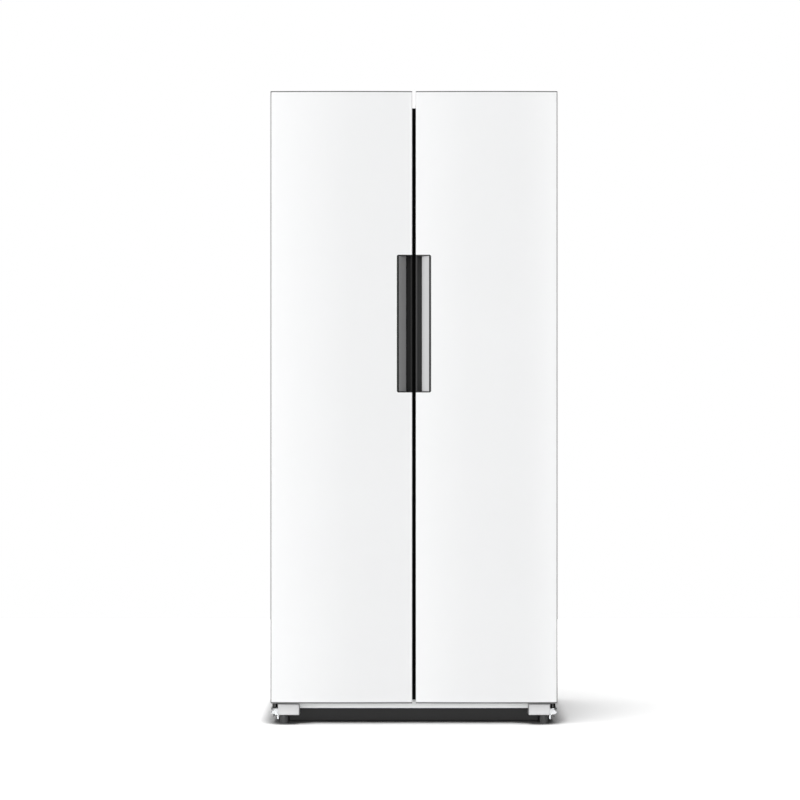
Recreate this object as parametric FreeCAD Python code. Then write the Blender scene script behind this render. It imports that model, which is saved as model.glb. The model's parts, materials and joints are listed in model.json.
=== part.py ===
import FreeCAD, Part
import math
import os

# Side by side refrigerator: two doors of equal width, freezer on the left and fresh food on the right.
# Millimetres. +Z is up, the doors face -Y, +X is to the right of someone facing the doors.
# The origin is on the floor, in the middle of the footprint.

# ---------------------------------------------------------------- overall
overall_width = 802.0
overall_depth = 690.0
overall_height = 1770.0

# ---------------------------------------------------------------- cabinet
door_overhang = 2.0          # how far a door stands out past the cabinet's side
base_height = 39.0           # floor to the underside of the cabinet
crown_height = 35.0          # how far the front of a door rises above its rear step
top_step_gap = 6.0           # door's rear step above the cabinet's top
sheet = 1.0                  # steel sheet of the cabinet
base_sheet = 2.0
liner_wall = 2.0
side_insulation = 54.0
mullion_width = 64.0
top_insulation = 55.0
bottom_insulation = 61.0
back_insulation = 60.0
rear_flange = 20.0
mullion_cover_width = 18.0
mullion_cover_thickness = 3.0
mullion_cover_drop = 37.0    # from the compartment's floor down to the cover's lower end
mullion_cover_round = 1.2

# ---------------------------------------------------------------- machine compartment
machine_depth = 189.0        # at the top of the compartment
machine_height = 251.0       # above the underside of the cabinet
hump_insulation = 45.0       # square to the slope in front of the compartment
hump_roof = 40.0             # above the compartment, liner included
hump_slope = 40.0            # how far the liner's slope leans back
machine_cover_sheet = 1.2
machine_cover_inset = 3.0
vent_slot_height = 6.0
vent_slot_pitch = 14.0
vent_slot_length = 90.0

# ---------------------------------------------------------------- doors
door_gap = 10.0
door_thickness = 62.0
door_to_cabinet = 10.0
door_bottom = 59.0           # floor to the door's lower edge
door_sheet = 0.8
door_corner = 3.0
free_return = 14.0           # skin folded back along the free edge
crown_depth = 16.0
top_cap_lip = 2.5
top_cap_plate = 8.0
bottom_cap_lip = 4.0
bottom_cap_plug = 12.0
edge_wall = 3.0

# ---------------------------------------------------------------- inner door
dyke_clearance = 10.0        # dyke to the compartment's opening
dyke_width = 20.0
dyke_height = 28.0
gasket_width = 14.0
gasket_height = 9.5
gasket_overlap = 12.0        # gasket's inner edge outside the opening at the hinge side
gasket_mullion_gap = 5.0     # gasket to the mullion cover
gasket_margin = 8.0          # gasket's inner edge above and below the opening
bin_count = 4
bin_depth = 100.0
bin_height = 110.0
bin_front_drop = 30.0
bin_wall = 3.0
bin_clearance = 0.5
bin_corner = 8.0
bin_low_front = 25.0         # depth of the bin's lowered front
lowest_bin_rise = 30.0       # above the dyke's lower run

# ---------------------------------------------------------------- grip pocket
grip_centre_height = 1120.5
grip_length = 385.0
grip_width = 43.0
grip_depth = 30.0
grip_floor = 3.0
grip_border = 6.0
grip_end_border = 3.0
grip_lip_width = 4.4
grip_lip_recess = 4.0
grip_corner = 5.0
grip_strip_width = 20.0
grip_strip_slope = 12.0
grip_strip_wall = 4.0
grip_strip_recess = 0.4      # strip's outer edge behind the door's front
grip_strip_hook = 2.8        # width of the strip's rounded-back inner edge

# ---------------------------------------------------------------- hinges
hinge_inset = 12.0           # pin to the door's outer edge
hinge_setback = 30.0         # pin to the door's front
pin_radius = 4.0
pin_clearance = 0.08
pin_engagement = 14.0
pin_pocket = 2.0             # bore depth beyond the pin's end
pin_boss_end = 4.0           # boss beyond the end of its bore
pin_boss_radius = 9.0
pin_head_radius = 7.0
pin_head_height = 3.0
hinge_plate = 4.0
arm_clearance = 3.0          # under the upper arm
arm_radius = 12.0
arm_base_radius = 17.0
arm_lean = 50.0              # degrees from straight inboard
arm_base_length = 60.0
arm_base_width = 56.0
arm_step_length = 22.0
arm_screw_inset = 14.0
lower_plate_drop = 15.0      # plate's top below the door
lower_plate_front = 13.0     # plate beyond the pin
lower_plate_side = 1.0       # plate short of the door's outer edge
lower_plate_corner = 8.0
lower_plate_length = 65.0
lower_flange_rise = 2.0      # flange above the underside of the cabinet
lower_flange_thickness = 3.0
lower_flange_height = 16.0
closer_radius = 7.5
closer_gap = 0.4
ear_width = 21.0
ear_height = 28.0
ear_thickness = 3.0
ear_bar = 5.5                # upright bar of the ear
ear_arm = 5.0                # thickness of the arm at its tip
ear_arm_drop = 7.0           # arm's tip below the plate
ear_arm_root = 9.0
lower_cover_width = 60.0
lower_cover_height = 31.0
lower_cover_gap = 2.0        # under the door
lower_cover_wall = 1.5
lower_cover_setback = 7.0
lower_cover_corner = 3.0
lower_cover_plate_gap = 0.4  # round the bracket's plate and ear
lower_cover_stud_gap = 3.0
lower_cover_side_gap = 0.5   # to the closer
lower_cover_back_gap = 1.0   # to the bracket's flange
upper_cover_wall = 2.0
upper_cover_height = 25.0
upper_cover_margin = 4.0
upper_cover_corner = 5.0
upper_cover_arm_gap = 1.0

# ---------------------------------------------------------------- feet and rollers
foot_radius = 11.25
foot_height = 22.0
foot_chamfer = 1.5
stud_radius = 5.0
stud_clearance = 0.08
stud_top_gap = 1.0
foot_side = 34.0             # foot to the cabinet's outer side, at its axis
foot_ahead = 24.0            # foot ahead of the cabinet's front, at its axis
roller_radius = 18.5
roller_width = 22.0
roller_side = 59.0           # roller to the cabinet's outer side, at its middle
roller_from_back = 95.0
axle_radius = 4.0
axle_clearance = 0.08
axle_end = 2.0               # axle beyond its bracket
roller_side_gap = 2.0
roller_ear = 3.0
roller_ear_radius = 11.0
rail_height = 25.0
rail_width = 20.0
rail_inset = 2.0

# ---------------------------------------------------------------- kick plate
kick_plate_side = 49.0       # end of the plate to the cabinet's side
kick_plate_setback = 11.0
kick_plate_thickness = 3.0
kick_plate_floor_gap = 3.0

# ---------------------------------------------------------------- inside
shelf_setback = 123.0        # compartment's front to the shelves' front
shelf_glass = 4.0
shelf_side_gap = 1.5
shelf_count = 4
shelf_back_gap = 5.0
trim_depth = 10.0
trim_height = 12.0
trim_lip = 2.0
ledge_width = 8.0
ledge_height = 8.0
ledge_gap = 0.4
drawer_wall = 3.0
drawer_side_gap = 10.5
drawer_flange_gap = 3.0
drawer_floor_gap = 7.0
drawer_top_gap = 8.0
drawer_front = 6.0
drawer_corner = 8.0
drawer_inner_corner = 6.0
drawer_pull_length = 160.0
drawer_pull_round = 4.0
lower_drawer_extra_gap = 2.0
drawer_handle_depth = 10.0
drawer_handle_height = 24.0
upper_drawer_height = 166.0
lower_drawer_back_gap = 12.0
light_width = 120.0
light_depth = 70.0
light_height = 8.0
light_from_front = 150.0
light_round = 4.0

# ---------------------------------------------------------------- cooling
duct_cover_wall = 3.0
duct_depth = 60.0
duct_top_gap = 140.0
duct_side_gap = 1.0
duct_motor_bar = 12.0
duct_motor_bar_depth = 4.0
return_slot_rise = 40.0
outlet_slot_drop = 60.0
duct_slot_length = 160.0
fan_grille_share = 0.9       # of the fan's radius, open as slots
evaporator_height = 380.0
evaporator_depth = 40.0
evaporator_side_gap = 20.0
evaporator_rise = 20.0       # above the roof of the machine compartment
evaporator_back_gap = 6.0
evaporator_rows = 6
condenser_rows = 5
coil_tube_end = 8.0          # tube beyond the last fin
coil_fins = 24
coil_fin_thickness = 1.2
coil_tube_radius = 4.0
evaporator_fan_radius = 55.0
evaporator_fan_rise = 20.0   # above the evaporator
evaporator_fan_gap = 4.0     # behind the duct cover
condenser_fan_radius = 72.0
fan_hub_radius = 18.0
fan_hub_length = 24.0
fan_blade_thickness = 2.0
fan_blade_chord = 34.0
fan_blade_pitch = 32.0
fan_blades = 5
fan_tip_gap = 5.0
fan_shaft_radius = 3.0
fan_shaft_length = 10.0
fan_shaft_clearance = 0.08
fan_motor_radius = 20.0
fan_motor_length = 26.0
fan_gap = 2.0
spoke_width = 8.0
air_duct_width = 150.0
air_duct_depth = 18.0
air_slot_width = 60.0
air_slot_height = 12.0
air_duct_wall = 3.0
air_duct_round = 6.0
air_duct_rise = 30.0         # above the roof of the machine compartment
air_duct_top_gap = 40.0
compressor_radius = 62.0
compressor_height = 105.0
compressor_foot_plate = 3.0
compressor_plate_length = 190.0
compressor_plate_width = 120.0
compressor_mount_height = 14.0
compressor_mount_radius = 11.0
compressor_from_side = 165.0
compressor_round = 20.0
compressor_seam = 5.0
compressor_seam_step = 2.5
compressor_seam_share = 0.55  # of the can's height
suction_tube_radius = 5.0
suction_tube_length = 22.0
suction_tube_offset = 25.0
compressor_mount_inset = 14.0
compressor_tray_gap = 24.0
condenser_length = 230.0
condenser_depth = 110.0
condenser_height = 170.0
condenser_from_side = 40.0
condenser_foot = 20.0
condenser_fan_gap = 34.0     # fan to the condenser
condenser_fan_rise = 6.0     # fan above the condenser's middle
machine_floor_gap = 6.0
fan_bracket_sheet = 2.0
fan_bracket_size = 176.0
fan_bracket_cover_gap = 3.0
fan_bracket_leg_radius = 3.0
fan_spoke_thickness = 4.0
drip_tray_length = 150.0
drip_tray_width = 110.0
drip_tray_height = 22.0
drip_tray_wall = 2.0
gland_radius = 9.0
gland_hole_radius = 4.5
gland_length = 16.0
gland_flange_radius = 13.0
gland_flange = 2.0
gland_from_side = 60.0
gland_height = 45.0
screw_head_radius = 4.5
screw_head_height = 2.4
screw_shank_radius = 2.0
screw_hole_clearance = 0.1
screw_length = 9.0
screw_head_round = 1.5
machine_screw_inset = 12.0
machine_screw_from_fan = 53.0   # inner screws beside the fan bracket
vent_columns = 5
vent_column_gap = 12.0
vent_margin = 40.0

# ---------------------------------------------------------------- worked out
front_y = -overall_depth / 2
rear_y = overall_depth / 2
door_outer_x = overall_width / 2
door_inner_x = door_gap / 2
door_back_y = front_y + door_thickness
door_step_z = overall_height - crown_height
crown_back_y = front_y + crown_depth
edge_front_y = front_y + free_return
top_cap_z = overall_height - top_cap_lip
step_plate_z = door_step_z - top_cap_plate
skin_bottom_z = door_bottom + bottom_cap_lip
plug_top_z = skin_bottom_z + bottom_cap_plug
cabinet_front_y = door_back_y + door_to_cabinet
cabinet_side_x = door_outer_x - door_overhang
cabinet_top_z = door_step_z - top_step_gap
panel_x = cabinet_side_x - sheet
frame_back_y = cabinet_front_y + sheet
base_top_z = base_height + base_sheet
cavity_inner_x = mullion_width / 2
cavity_outer_x = cabinet_side_x - side_insulation
cavity_middle_x = (cavity_inner_x + cavity_outer_x) / 2
cavity_floor_z = base_height + bottom_insulation
cavity_top_z = cabinet_top_z - top_insulation
cavity_back_y = rear_y - back_insulation
machine_top_z = base_height + machine_height
hump_top_z = machine_top_z + hump_roof
slope_rise = hump_top_z - cavity_floor_z
slope_length = math.hypot(slope_rise, hump_slope)
slope_thickness = hump_insulation * slope_length / slope_rise
hump_y = rear_y - machine_depth - slope_thickness + hump_slope * hump_roof / slope_rise
slope_foot_y = hump_y - hump_slope
hinge_x = door_outer_x - hinge_inset
hinge_y = front_y + hinge_setback
shelf_front_y = cabinet_front_y + shelf_setback
liner_plate_y = door_back_y - liner_wall
dyke_outer_x = cavity_outer_x - dyke_clearance
dyke_inner_x = cavity_inner_x + dyke_clearance
dyke_bottom_z = cavity_floor_z + dyke_clearance
dyke_top_z = cavity_top_z - dyke_clearance
arm_bottom_z = door_step_z + arm_clearance
arm_top_z = arm_bottom_z + hinge_plate
lower_plate_top_z = door_bottom - lower_plate_drop
lower_plate_z = lower_plate_top_z - hinge_plate
foot_x = cabinet_side_x - foot_side
foot_y = cabinet_front_y - foot_ahead
roller_x = cabinet_side_x - roller_side
roller_y = rear_y - roller_from_back
grip_bottom_z = grip_centre_height - grip_length / 2
grip_top_z = grip_centre_height + grip_length / 2
grip_outer_x = door_inner_x + grip_width
crisper_shelf_z = hump_top_z - drawer_top_gap
upper_drawer_z = hump_top_z + drawer_floor_gap
upper_shelf_z = upper_drawer_z + upper_drawer_height + drawer_top_gap
shelf_pitch = (cavity_top_z - upper_shelf_z) / shelf_count
fridge_shelf_back_y = cavity_back_y - air_duct_depth - shelf_back_gap
duct_front_y = cavity_back_y - duct_depth
freezer_shelf_back_y = duct_front_y - shelf_back_gap
machine_front_y = rear_y - machine_depth
machine_cover_y = rear_y - machine_cover_inset - machine_cover_sheet
machine_middle_y = (machine_front_y + machine_cover_y) / 2


# ---------------------------------------------------------------- shapes shared by the pieces
def box(x0, x1, y0, y1, z0, z1):
    return Part.makeBox(x1 - x0, y1 - y0, z1 - z0, FreeCAD.Vector(x0, y0, z0))


def rod(radius, start, length, direction):
    return Part.makeCylinder(radius, length, FreeCAD.Vector(*start), FreeCAD.Vector(*direction))


def prism(points, extrusion):
    corners = [FreeCAD.Vector(*point) for point in points]
    corners.append(corners[0])
    return Part.Face(Part.makePolygon(corners)).extrude(FreeCAD.Vector(*extrusion))


def fused(shapes):
    return shapes[0].fuse(shapes[1:]).removeSplitter()


def without(shape, cutters):
    return shape.cut(cutters).removeSplitter()


def mirrored(shape):
    return shape.mirror(FreeCAD.Vector(0, 0, 0), FreeCAD.Vector(1, 0, 0))


def both_sides(shape):
    return Part.makeCompound([mirrored(shape), shape])


def rounded(shape, radius, chosen):
    edges = [edge for edge in shape.Edges if chosen(edge.CenterOfMass)]
    return shape.makeFillet(radius, edges)


def door_block(x0, x1, y0, y1, z0, z1, radius):
    """Block whose two upright front edges are rounded."""
    block = box(x0, x1, y0, y1, z0, z1)
    middle = (z0 + z1) / 2
    return rounded(block, radius, lambda c: abs(c.y - y0) < 0.01 and abs(c.z - middle) < 0.01 and
                   abs(c.x - (x0 + x1) / 2) > 1.0)


def frame_ring(x0, x1, z0, z1, width, y0, y1):
    outer = box(x0, x1, y0, y1, z0, z1)
    return without(outer, [box(x0 + width, x1 - width, y0 - 1, y1 + 1, z0 + width, z1 - width)])


# ---------------------------------------------------------------- cabinet
def cavity_block(grow, start_y):
    """Inside of the right compartment, grown on all sides but the front."""
    shift = grow * (slope_length - hump_slope) / slope_rise
    x0 = cavity_inner_x - grow
    width = cavity_outer_x - cavity_inner_x + 2 * grow
    profile = [
        (x0, start_y, cavity_floor_z - grow),
        (x0, slope_foot_y + shift, cavity_floor_z - grow),
        (x0, hump_y + shift, hump_top_z - grow),
        (x0, cavity_back_y + grow, hump_top_z - grow),
        (x0, cavity_back_y + grow, cavity_top_z + grow),
        (x0, start_y, cavity_top_z + grow),
    ]
    return prism(profile, (width, 0, 0))


def slope_y(z):
    """Front wall of the machine compartment at height z."""
    return slope_foot_y + (z - cavity_floor_z) * hump_slope / slope_rise + slope_thickness


def machine_space():
    profile = [
        (-panel_x, slope_y(base_top_z), base_top_z),
        (-panel_x, rear_y, base_top_z),
        (-panel_x, rear_y, machine_top_z),
        (-panel_x, slope_y(machine_top_z), machine_top_z),
    ]
    return prism(profile, (2 * panel_x, 0, 0))


def side_panel():
    plate = box(panel_x, cabinet_side_x, cabinet_front_y, rear_y, base_height, cabinet_top_z)
    flange = box(cabinet_side_x - rear_flange, panel_x, rear_y - sheet, rear_y, machine_top_z, cabinet_top_z)
    return fused([plate, flange])


def top_panel():
    plate = box(-panel_x, panel_x, cabinet_front_y, rear_y - sheet, cabinet_top_z - sheet, cabinet_top_z)
    radius = screw_shank_radius + screw_hole_clearance
    holes = [rod(radius, (x, y, cabinet_top_z - 2 * sheet), 4 * sheet, (0, 0, 1)) for x, y in hinge_screw_places()]
    holes += [mirrored(hole) for hole in holes]
    return without(plate, holes)


def rear_panel():
    half = cabinet_side_x - rear_flange
    return box(-half, half, rear_y - sheet, rear_y, machine_top_z, cabinet_top_z)


def roller_ears():
    ears = []
    for offset in (-1, 1):
        x0 = roller_x + offset * (roller_width / 2 + roller_side_gap + roller_ear / 2) - roller_ear / 2
        ear = box(x0, x0 + roller_ear, roller_y - roller_ear_radius, roller_y + roller_ear_radius,
                  roller_radius, base_height)
        ears += [ear, rod(roller_ear_radius, (x0, roller_y, roller_radius), roller_ear, (1, 0, 0))]
    return ears


def base_frame():
    floor = box(-panel_x, panel_x, frame_back_y, rear_y, base_height, base_top_z)
    half = []
    for x0 in (panel_x - rail_inset - base_sheet, panel_x - rail_inset - rail_width):
        half.append(box(x0, x0 + base_sheet, frame_back_y, rear_y - rail_inset, base_height - rail_height,
                        base_height))
    half += roller_ears()
    kick_back_y = cabinet_front_y + kick_plate_setback + kick_plate_thickness
    beam = box(-cabinet_side_x + kick_plate_side, cabinet_side_x - kick_plate_side, kick_back_y,
               kick_back_y + base_sheet, base_height - rail_height, base_height)
    whole = fused([floor, beam] + half + [mirrored(piece) for piece in half])
    axle = rod(axle_radius + axle_clearance, (roller_x - roller_width, roller_y, roller_radius),
               2 * roller_width, (1, 0, 0))
    return without(whole, [axle, mirrored(axle)])


def foam_core():
    block = box(-panel_x, panel_x, frame_back_y, rear_y - sheet, base_top_z, cabinet_top_z - sheet)
    hollow = cavity_block(liner_wall, frame_back_y)
    return without(block, [hollow, mirrored(hollow), machine_space()])


def shelf_levels():
    return [upper_shelf_z + shelf_pitch * step for step in range(shelf_count)]


def ledges(back_y):
    """Ribs on both walls of the right compartment that shelves and drawers rest on."""
    runs = [(z, back_y) for z in shelf_levels()]
    runs.append((crisper_shelf_z, slope_foot_y))
    runs.append((lower_drawer_top() - drawer_wall - ledge_gap, slope_foot_y))
    runs.append((upper_drawer_z + upper_drawer_height - drawer_wall - ledge_gap, back_y))
    ribs = []
    for top_z, end_y in runs:
        for wall_x in (cavity_inner_x - liner_wall / 2, cavity_outer_x + liner_wall / 2 - ledge_width):
            ribs.append(box(wall_x, wall_x + ledge_width, shelf_front_y, end_y, top_z - ledge_height, top_z))
    return ribs


def liner(back_y):
    shell = without(cavity_block(liner_wall, frame_back_y), [cavity_block(0, frame_back_y - 1)])
    return fused([shell] + ledges(back_y))


def front_frame():
    plate = box(-panel_x, panel_x, cabinet_front_y, frame_back_y, base_height, cabinet_top_z - sheet)
    mouth = box(cavity_inner_x, cavity_outer_x, cabinet_front_y - 1, frame_back_y + 1, cavity_floor_z,
                cavity_top_z)
    return without(plate, [mouth, mirrored(mouth)])


def mullion_cover():
    half = mullion_cover_width / 2
    strip = box(-half, half, cabinet_front_y - mullion_cover_thickness, cabinet_front_y,
                cavity_floor_z - mullion_cover_drop, cabinet_top_z - sheet)
    front = cabinet_front_y - mullion_cover_thickness
    return rounded(strip, mullion_cover_round, lambda c: abs(c.y - front) < 0.01 and abs(c.x) > 1)


def kick_plate():
    half = cabinet_side_x - kick_plate_side
    y0 = cabinet_front_y + kick_plate_setback
    return box(-half, half, y0, y0 + kick_plate_thickness, kick_plate_floor_gap, base_height)


# ---------------------------------------------------------------- hinges
def lower_hinge():
    """Bracket on the cabinet's front: plate, upright flange, pin, and an ear with a bar and a short arm."""
    outer_x = door_outer_x - lower_plate_side
    inner_x = outer_x - lower_plate_length
    plate = box(inner_x, outer_x, hinge_y - lower_plate_front, cabinet_front_y, lower_plate_z,
                lower_plate_top_z)
    middle_z = (lower_plate_z + lower_plate_top_z) / 2
    plate = rounded(plate, lower_plate_corner,
                    lambda c: abs(c.z - middle_z) < 0.01 and c.y < hinge_y and c.x > hinge_x)
    flange_z = base_height + lower_flange_rise
    flange = box(inner_x, panel_x, cabinet_front_y - lower_flange_thickness, cabinet_front_y, flange_z,
                 flange_z + lower_flange_height)
    pin_length = door_bottom + pin_engagement - lower_plate_z
    pin = rod(pin_radius, (hinge_x, hinge_y, lower_plate_z), pin_length, (0, 0, 1))
    ear_y = foot_y - foot_radius - ear_thickness
    low_z = lower_plate_z - ear_height
    bar_x = outer_x - ear_width + ear_bar
    tip_z = lower_plate_z - ear_arm_drop
    ear = prism([
        (outer_x - ear_width, ear_y, lower_plate_top_z),
        (outer_x - ear_width, ear_y, low_z),
        (bar_x, ear_y, low_z),
        (bar_x, ear_y, tip_z - 2 * ear_arm),
        (outer_x, ear_y, tip_z - ear_arm),
        (outer_x, ear_y, tip_z),
        (outer_x - ear_arm_root, ear_y, lower_plate_z),
        (outer_x - ear_arm_root, ear_y, lower_plate_top_z),
    ], (0, ear_thickness, 0))
    bracket = fused([plate, flange, pin, ear])
    stud = rod(stud_radius + stud_clearance, (foot_x, foot_y, 0), lower_plate_top_z + 1, (0, 0, 1))
    return without(bracket, [stud])


def lower_cover_box(inset):
    x1 = hinge_x - closer_radius - lower_cover_side_gap
    y1 = cabinet_front_y - lower_flange_thickness - lower_cover_back_gap
    top_z = door_bottom - lower_cover_gap
    y0 = front_y + lower_cover_setback
    return box(x1 - lower_cover_width + inset, x1 + 2 * inset, y0 + inset,
               y1 + 2 * inset, top_z - lower_cover_height + inset, top_z - inset)


def lower_hinge_cover():
    """Plastic shell over the bracket, open at the back and on its outer side."""
    outer = lower_cover_box(0)
    front = outer.BoundBox.YMin
    outer = rounded(outer, lower_cover_corner, lambda c: abs(c.y - front) < 0.01)
    stud = rod(stud_radius + lower_cover_stud_gap, (foot_x, foot_y, 0), lower_plate_z, (0, 0, 1))
    gap = lower_cover_plate_gap
    slot = box(door_outer_x - lower_plate_side - ear_width - gap, hinge_x, hinge_y - lower_plate_front - gap, 0,
               lower_plate_z - ear_height - gap, lower_plate_top_z + gap)
    return without(outer, [lower_cover_box(lower_cover_wall), stud, slot])


def door_closer():
    height = door_bottom - closer_gap - lower_plate_top_z
    ring = rod(closer_radius, (hinge_x, hinge_y, lower_plate_top_z), height, (0, 0, 1))
    return without(ring, [rod(pin_radius + pin_clearance, (hinge_x, hinge_y, 0), door_bottom, (0, 0, 1))])


def arm_base_centre():
    run = (cabinet_front_y - hinge_y + upper_cover_wall) / math.sin(math.radians(arm_lean))
    return hinge_x - run * math.cos(math.radians(arm_lean)), cabinet_front_y + upper_cover_wall


def hinge_screw_places():
    base_x, base_y = arm_base_centre()
    y = base_y + arm_base_length - arm_screw_inset
    return [(base_x - arm_screw_inset, y), (base_x + arm_screw_inset, y)]


def upper_hinge():
    """Stepped arm screwed to the cabinet's top, with the pin riveted through its end."""
    base_x, base_y = arm_base_centre()
    lean = math.radians(arm_lean)
    side = (math.sin(lean), math.cos(lean))
    tip = rod(arm_radius, (hinge_x, hinge_y, arm_bottom_z), hinge_plate, (0, 0, 1))
    web = prism([
        (hinge_x + side[0] * arm_radius, hinge_y + side[1] * arm_radius, arm_bottom_z),
        (base_x + side[0] * arm_base_radius, base_y + side[1] * arm_base_radius, arm_bottom_z),
        (base_x - side[0] * arm_base_radius, base_y - side[1] * arm_base_radius + upper_cover_wall, arm_bottom_z),
        (hinge_x - side[0] * arm_radius, hinge_y - side[1] * arm_radius, arm_bottom_z),
    ], (0, 0, hinge_plate))
    x0 = base_x - arm_base_width / 2
    x1 = base_x + arm_base_width / 2
    step = box(x0, x1, base_y, base_y + arm_step_length, cabinet_top_z, arm_top_z)
    foot = box(x0, x1, base_y, base_y + arm_base_length, cabinet_top_z, cabinet_top_z + hinge_plate)
    pin_length = arm_top_z - door_step_z + pin_engagement
    pin = rod(pin_radius, (hinge_x, hinge_y, door_step_z - pin_engagement), pin_length, (0, 0, 1))
    head = rod(pin_head_radius, (hinge_x, hinge_y, arm_top_z), pin_head_height, (0, 0, 1))
    hinge = fused([tip, web, step, foot, pin, head])
    holes = [rod(screw_shank_radius + screw_hole_clearance, (x, y, cabinet_top_z - 1), 10, (0, 0, 1))
             for x, y in hinge_screw_places()]
    return without(hinge, holes)


def upper_hinge_cover():
    base_x, base_y = arm_base_centre()
    gap = upper_cover_margin
    wall = upper_cover_wall
    x0 = base_x - arm_base_width / 2 - gap
    x1 = base_x + arm_base_width / 2 + gap
    y1 = base_y + arm_base_length + gap
    top_z = cabinet_top_z + upper_cover_height
    outer = box(x0, x1, cabinet_front_y, y1, cabinet_top_z, top_z)
    outer = rounded(outer, upper_cover_corner, lambda c: abs(c.z - top_z) < 0.01 or
                    abs(c.z - (cabinet_top_z + top_z) / 2) < 0.01)
    inner = box(x0 + wall, x1 - wall, cabinet_front_y + wall, y1 - wall, cabinet_top_z - 1, top_z - wall)
    mouth = box(x0 + wall, x1 - wall, cabinet_front_y - 1, cabinet_front_y + 2 * wall, cabinet_top_z - 1,
                arm_top_z + upper_cover_arm_gap)
    return without(outer, [inner, mouth])


# ---------------------------------------------------------------- door (right-hand; the left is its mirror)
def grip_space(grow, depth):
    return box(door_inner_x - 1, grip_outer_x + grow, front_y - 1, front_y + depth, grip_bottom_z - grow,
               grip_top_z + grow)


def grip_outline(x0, depth):
    """Block of the grip pocket, its two outer corners rounded."""
    block = box(x0, grip_outer_x, front_y, front_y + depth, grip_bottom_z, grip_top_z)
    middle = front_y + depth / 2
    return rounded(block, grip_corner, lambda c: abs(c.y - middle) < 0.01 and c.x > grip_outer_x - 1)


def door_skin():
    outer = door_block(door_inner_x, door_outer_x, front_y, door_back_y, skin_bottom_z, top_cap_z, door_corner)
    inner = door_block(door_inner_x + door_sheet, door_outer_x - door_sheet, front_y + door_sheet,
                       door_back_y + 1, skin_bottom_z - 1, top_cap_z + 1, door_corner - door_sheet)
    free_edge = box(door_inner_x - 1, door_inner_x + edge_wall, edge_front_y, door_back_y + 1, skin_bottom_z - 1,
                    top_cap_z + 1)
    above_step = box(door_inner_x - 1, door_outer_x + 1, crown_back_y, door_back_y + 1, step_plate_z,
                     overall_height)
    return without(outer, [inner, free_edge, above_step, grip_outline(door_inner_x - 1, free_return + 1)])


def pin_bore(z0, z1):
    return rod(pin_radius + pin_clearance, (hinge_x, hinge_y, z0), z1 - z0, (0, 0, 1))


def upper_boss():
    low_z = door_step_z - pin_engagement - pin_pocket - pin_boss_end
    return rod(pin_boss_radius, (hinge_x, hinge_y, low_z), step_plate_z - low_z, (0, 0, 1))


def lower_boss():
    high_z = door_bottom + pin_engagement + pin_pocket + pin_boss_end
    return rod(pin_boss_radius, (hinge_x, hinge_y, plug_top_z), high_z - plug_top_z, (0, 0, 1))


def door_caps():
    lip = door_block(door_inner_x, door_outer_x, front_y, crown_back_y, top_cap_z, overall_height, door_corner)
    core = door_block(door_inner_x + door_sheet, door_outer_x - door_sheet, front_y + door_sheet, crown_back_y,
                      step_plate_z, top_cap_z, door_corner - door_sheet)
    plate = box(door_inner_x, door_outer_x, crown_back_y, door_back_y, step_plate_z, door_step_z)
    top = fused([lip, core, plate, upper_boss()])
    top = without(top, [pin_bore(door_step_z - pin_engagement - pin_pocket, overall_height)])
    foot = door_block(door_inner_x, door_outer_x, front_y, door_back_y, door_bottom, skin_bottom_z, door_corner)
    plug = door_block(door_inner_x + edge_wall, door_outer_x - door_sheet, front_y + door_sheet, liner_plate_y,
                      skin_bottom_z, plug_top_z, door_corner - door_sheet)
    bottom = fused([foot, plug, lower_boss()])
    bottom = without(bottom, [pin_bore(door_bottom - 1, door_bottom + pin_engagement + pin_pocket)])
    return Part.makeCompound([top, bottom])


def door_edge():
    """Plastic profile of the free edge, with the grip pocket moulded into it."""
    strip = box(door_inner_x, door_inner_x + edge_wall, edge_front_y, door_back_y, skin_bottom_z, step_plate_z)
    pocket = grip_outline(door_inner_x, grip_depth + grip_floor)
    hollow = box(door_inner_x + grip_lip_width, grip_outer_x - grip_border, front_y - 1, front_y + grip_depth,
                 grip_bottom_z + grip_end_border, grip_top_z - grip_end_border)
    lip_top = box(door_inner_x - 1, door_inner_x + grip_lip_width, front_y - 1, front_y + grip_lip_recess,
                  grip_bottom_z + grip_end_border, grip_top_z - grip_end_border)
    return without(fused([strip, pocket]), [hollow, lip_top])


def door_grip():
    """Sloping grip strip: it leans back into the pocket and fingers hook behind its inner edge."""
    x1 = grip_outer_x - grip_border
    x0 = x1 - grip_strip_width
    z0 = grip_bottom_z + grip_end_border
    slope = front_y + grip_strip_slope
    profile = [
        (x1, front_y + grip_strip_recess, z0),
        (x0, slope + grip_strip_recess, z0),
        (x0, slope + grip_strip_wall, z0),
        (x0 + grip_strip_hook, slope + grip_strip_wall, z0),
        (x1, front_y + grip_strip_wall + grip_strip_recess, z0),
    ]
    return prism(profile, (0, 0, grip_length - 2 * grip_end_border))


def dyke_ring(inset, y0, y1):
    return frame_ring(dyke_inner_x + inset, dyke_outer_x - inset, dyke_bottom_z + inset, dyke_top_z - inset,
                      dyke_width - 2 * inset, y0, y1)


def door_foam():
    block = door_block(door_inner_x + edge_wall, door_outer_x - door_sheet, front_y + door_sheet, liner_plate_y,
                       plug_top_z, step_plate_z, door_corner - door_sheet)
    dyke = dyke_ring(liner_wall, liner_plate_y, door_back_y + dyke_height - liner_wall)
    pocket = grip_outline(door_inner_x - 1, grip_depth + grip_floor)
    return without(fused([block, dyke]), [pocket, upper_boss(), lower_boss()])


def door_liner():
    plate = box(door_inner_x + edge_wall, door_outer_x - door_sheet, liner_plate_y, door_back_y, skin_bottom_z,
                step_plate_z)
    dyke = dyke_ring(0, door_back_y - liner_wall, door_back_y + dyke_height)
    hollow = dyke_ring(liner_wall, liner_plate_y - 1, door_back_y + dyke_height - liner_wall)
    return without(fused([plate, dyke]), [hollow])


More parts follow.
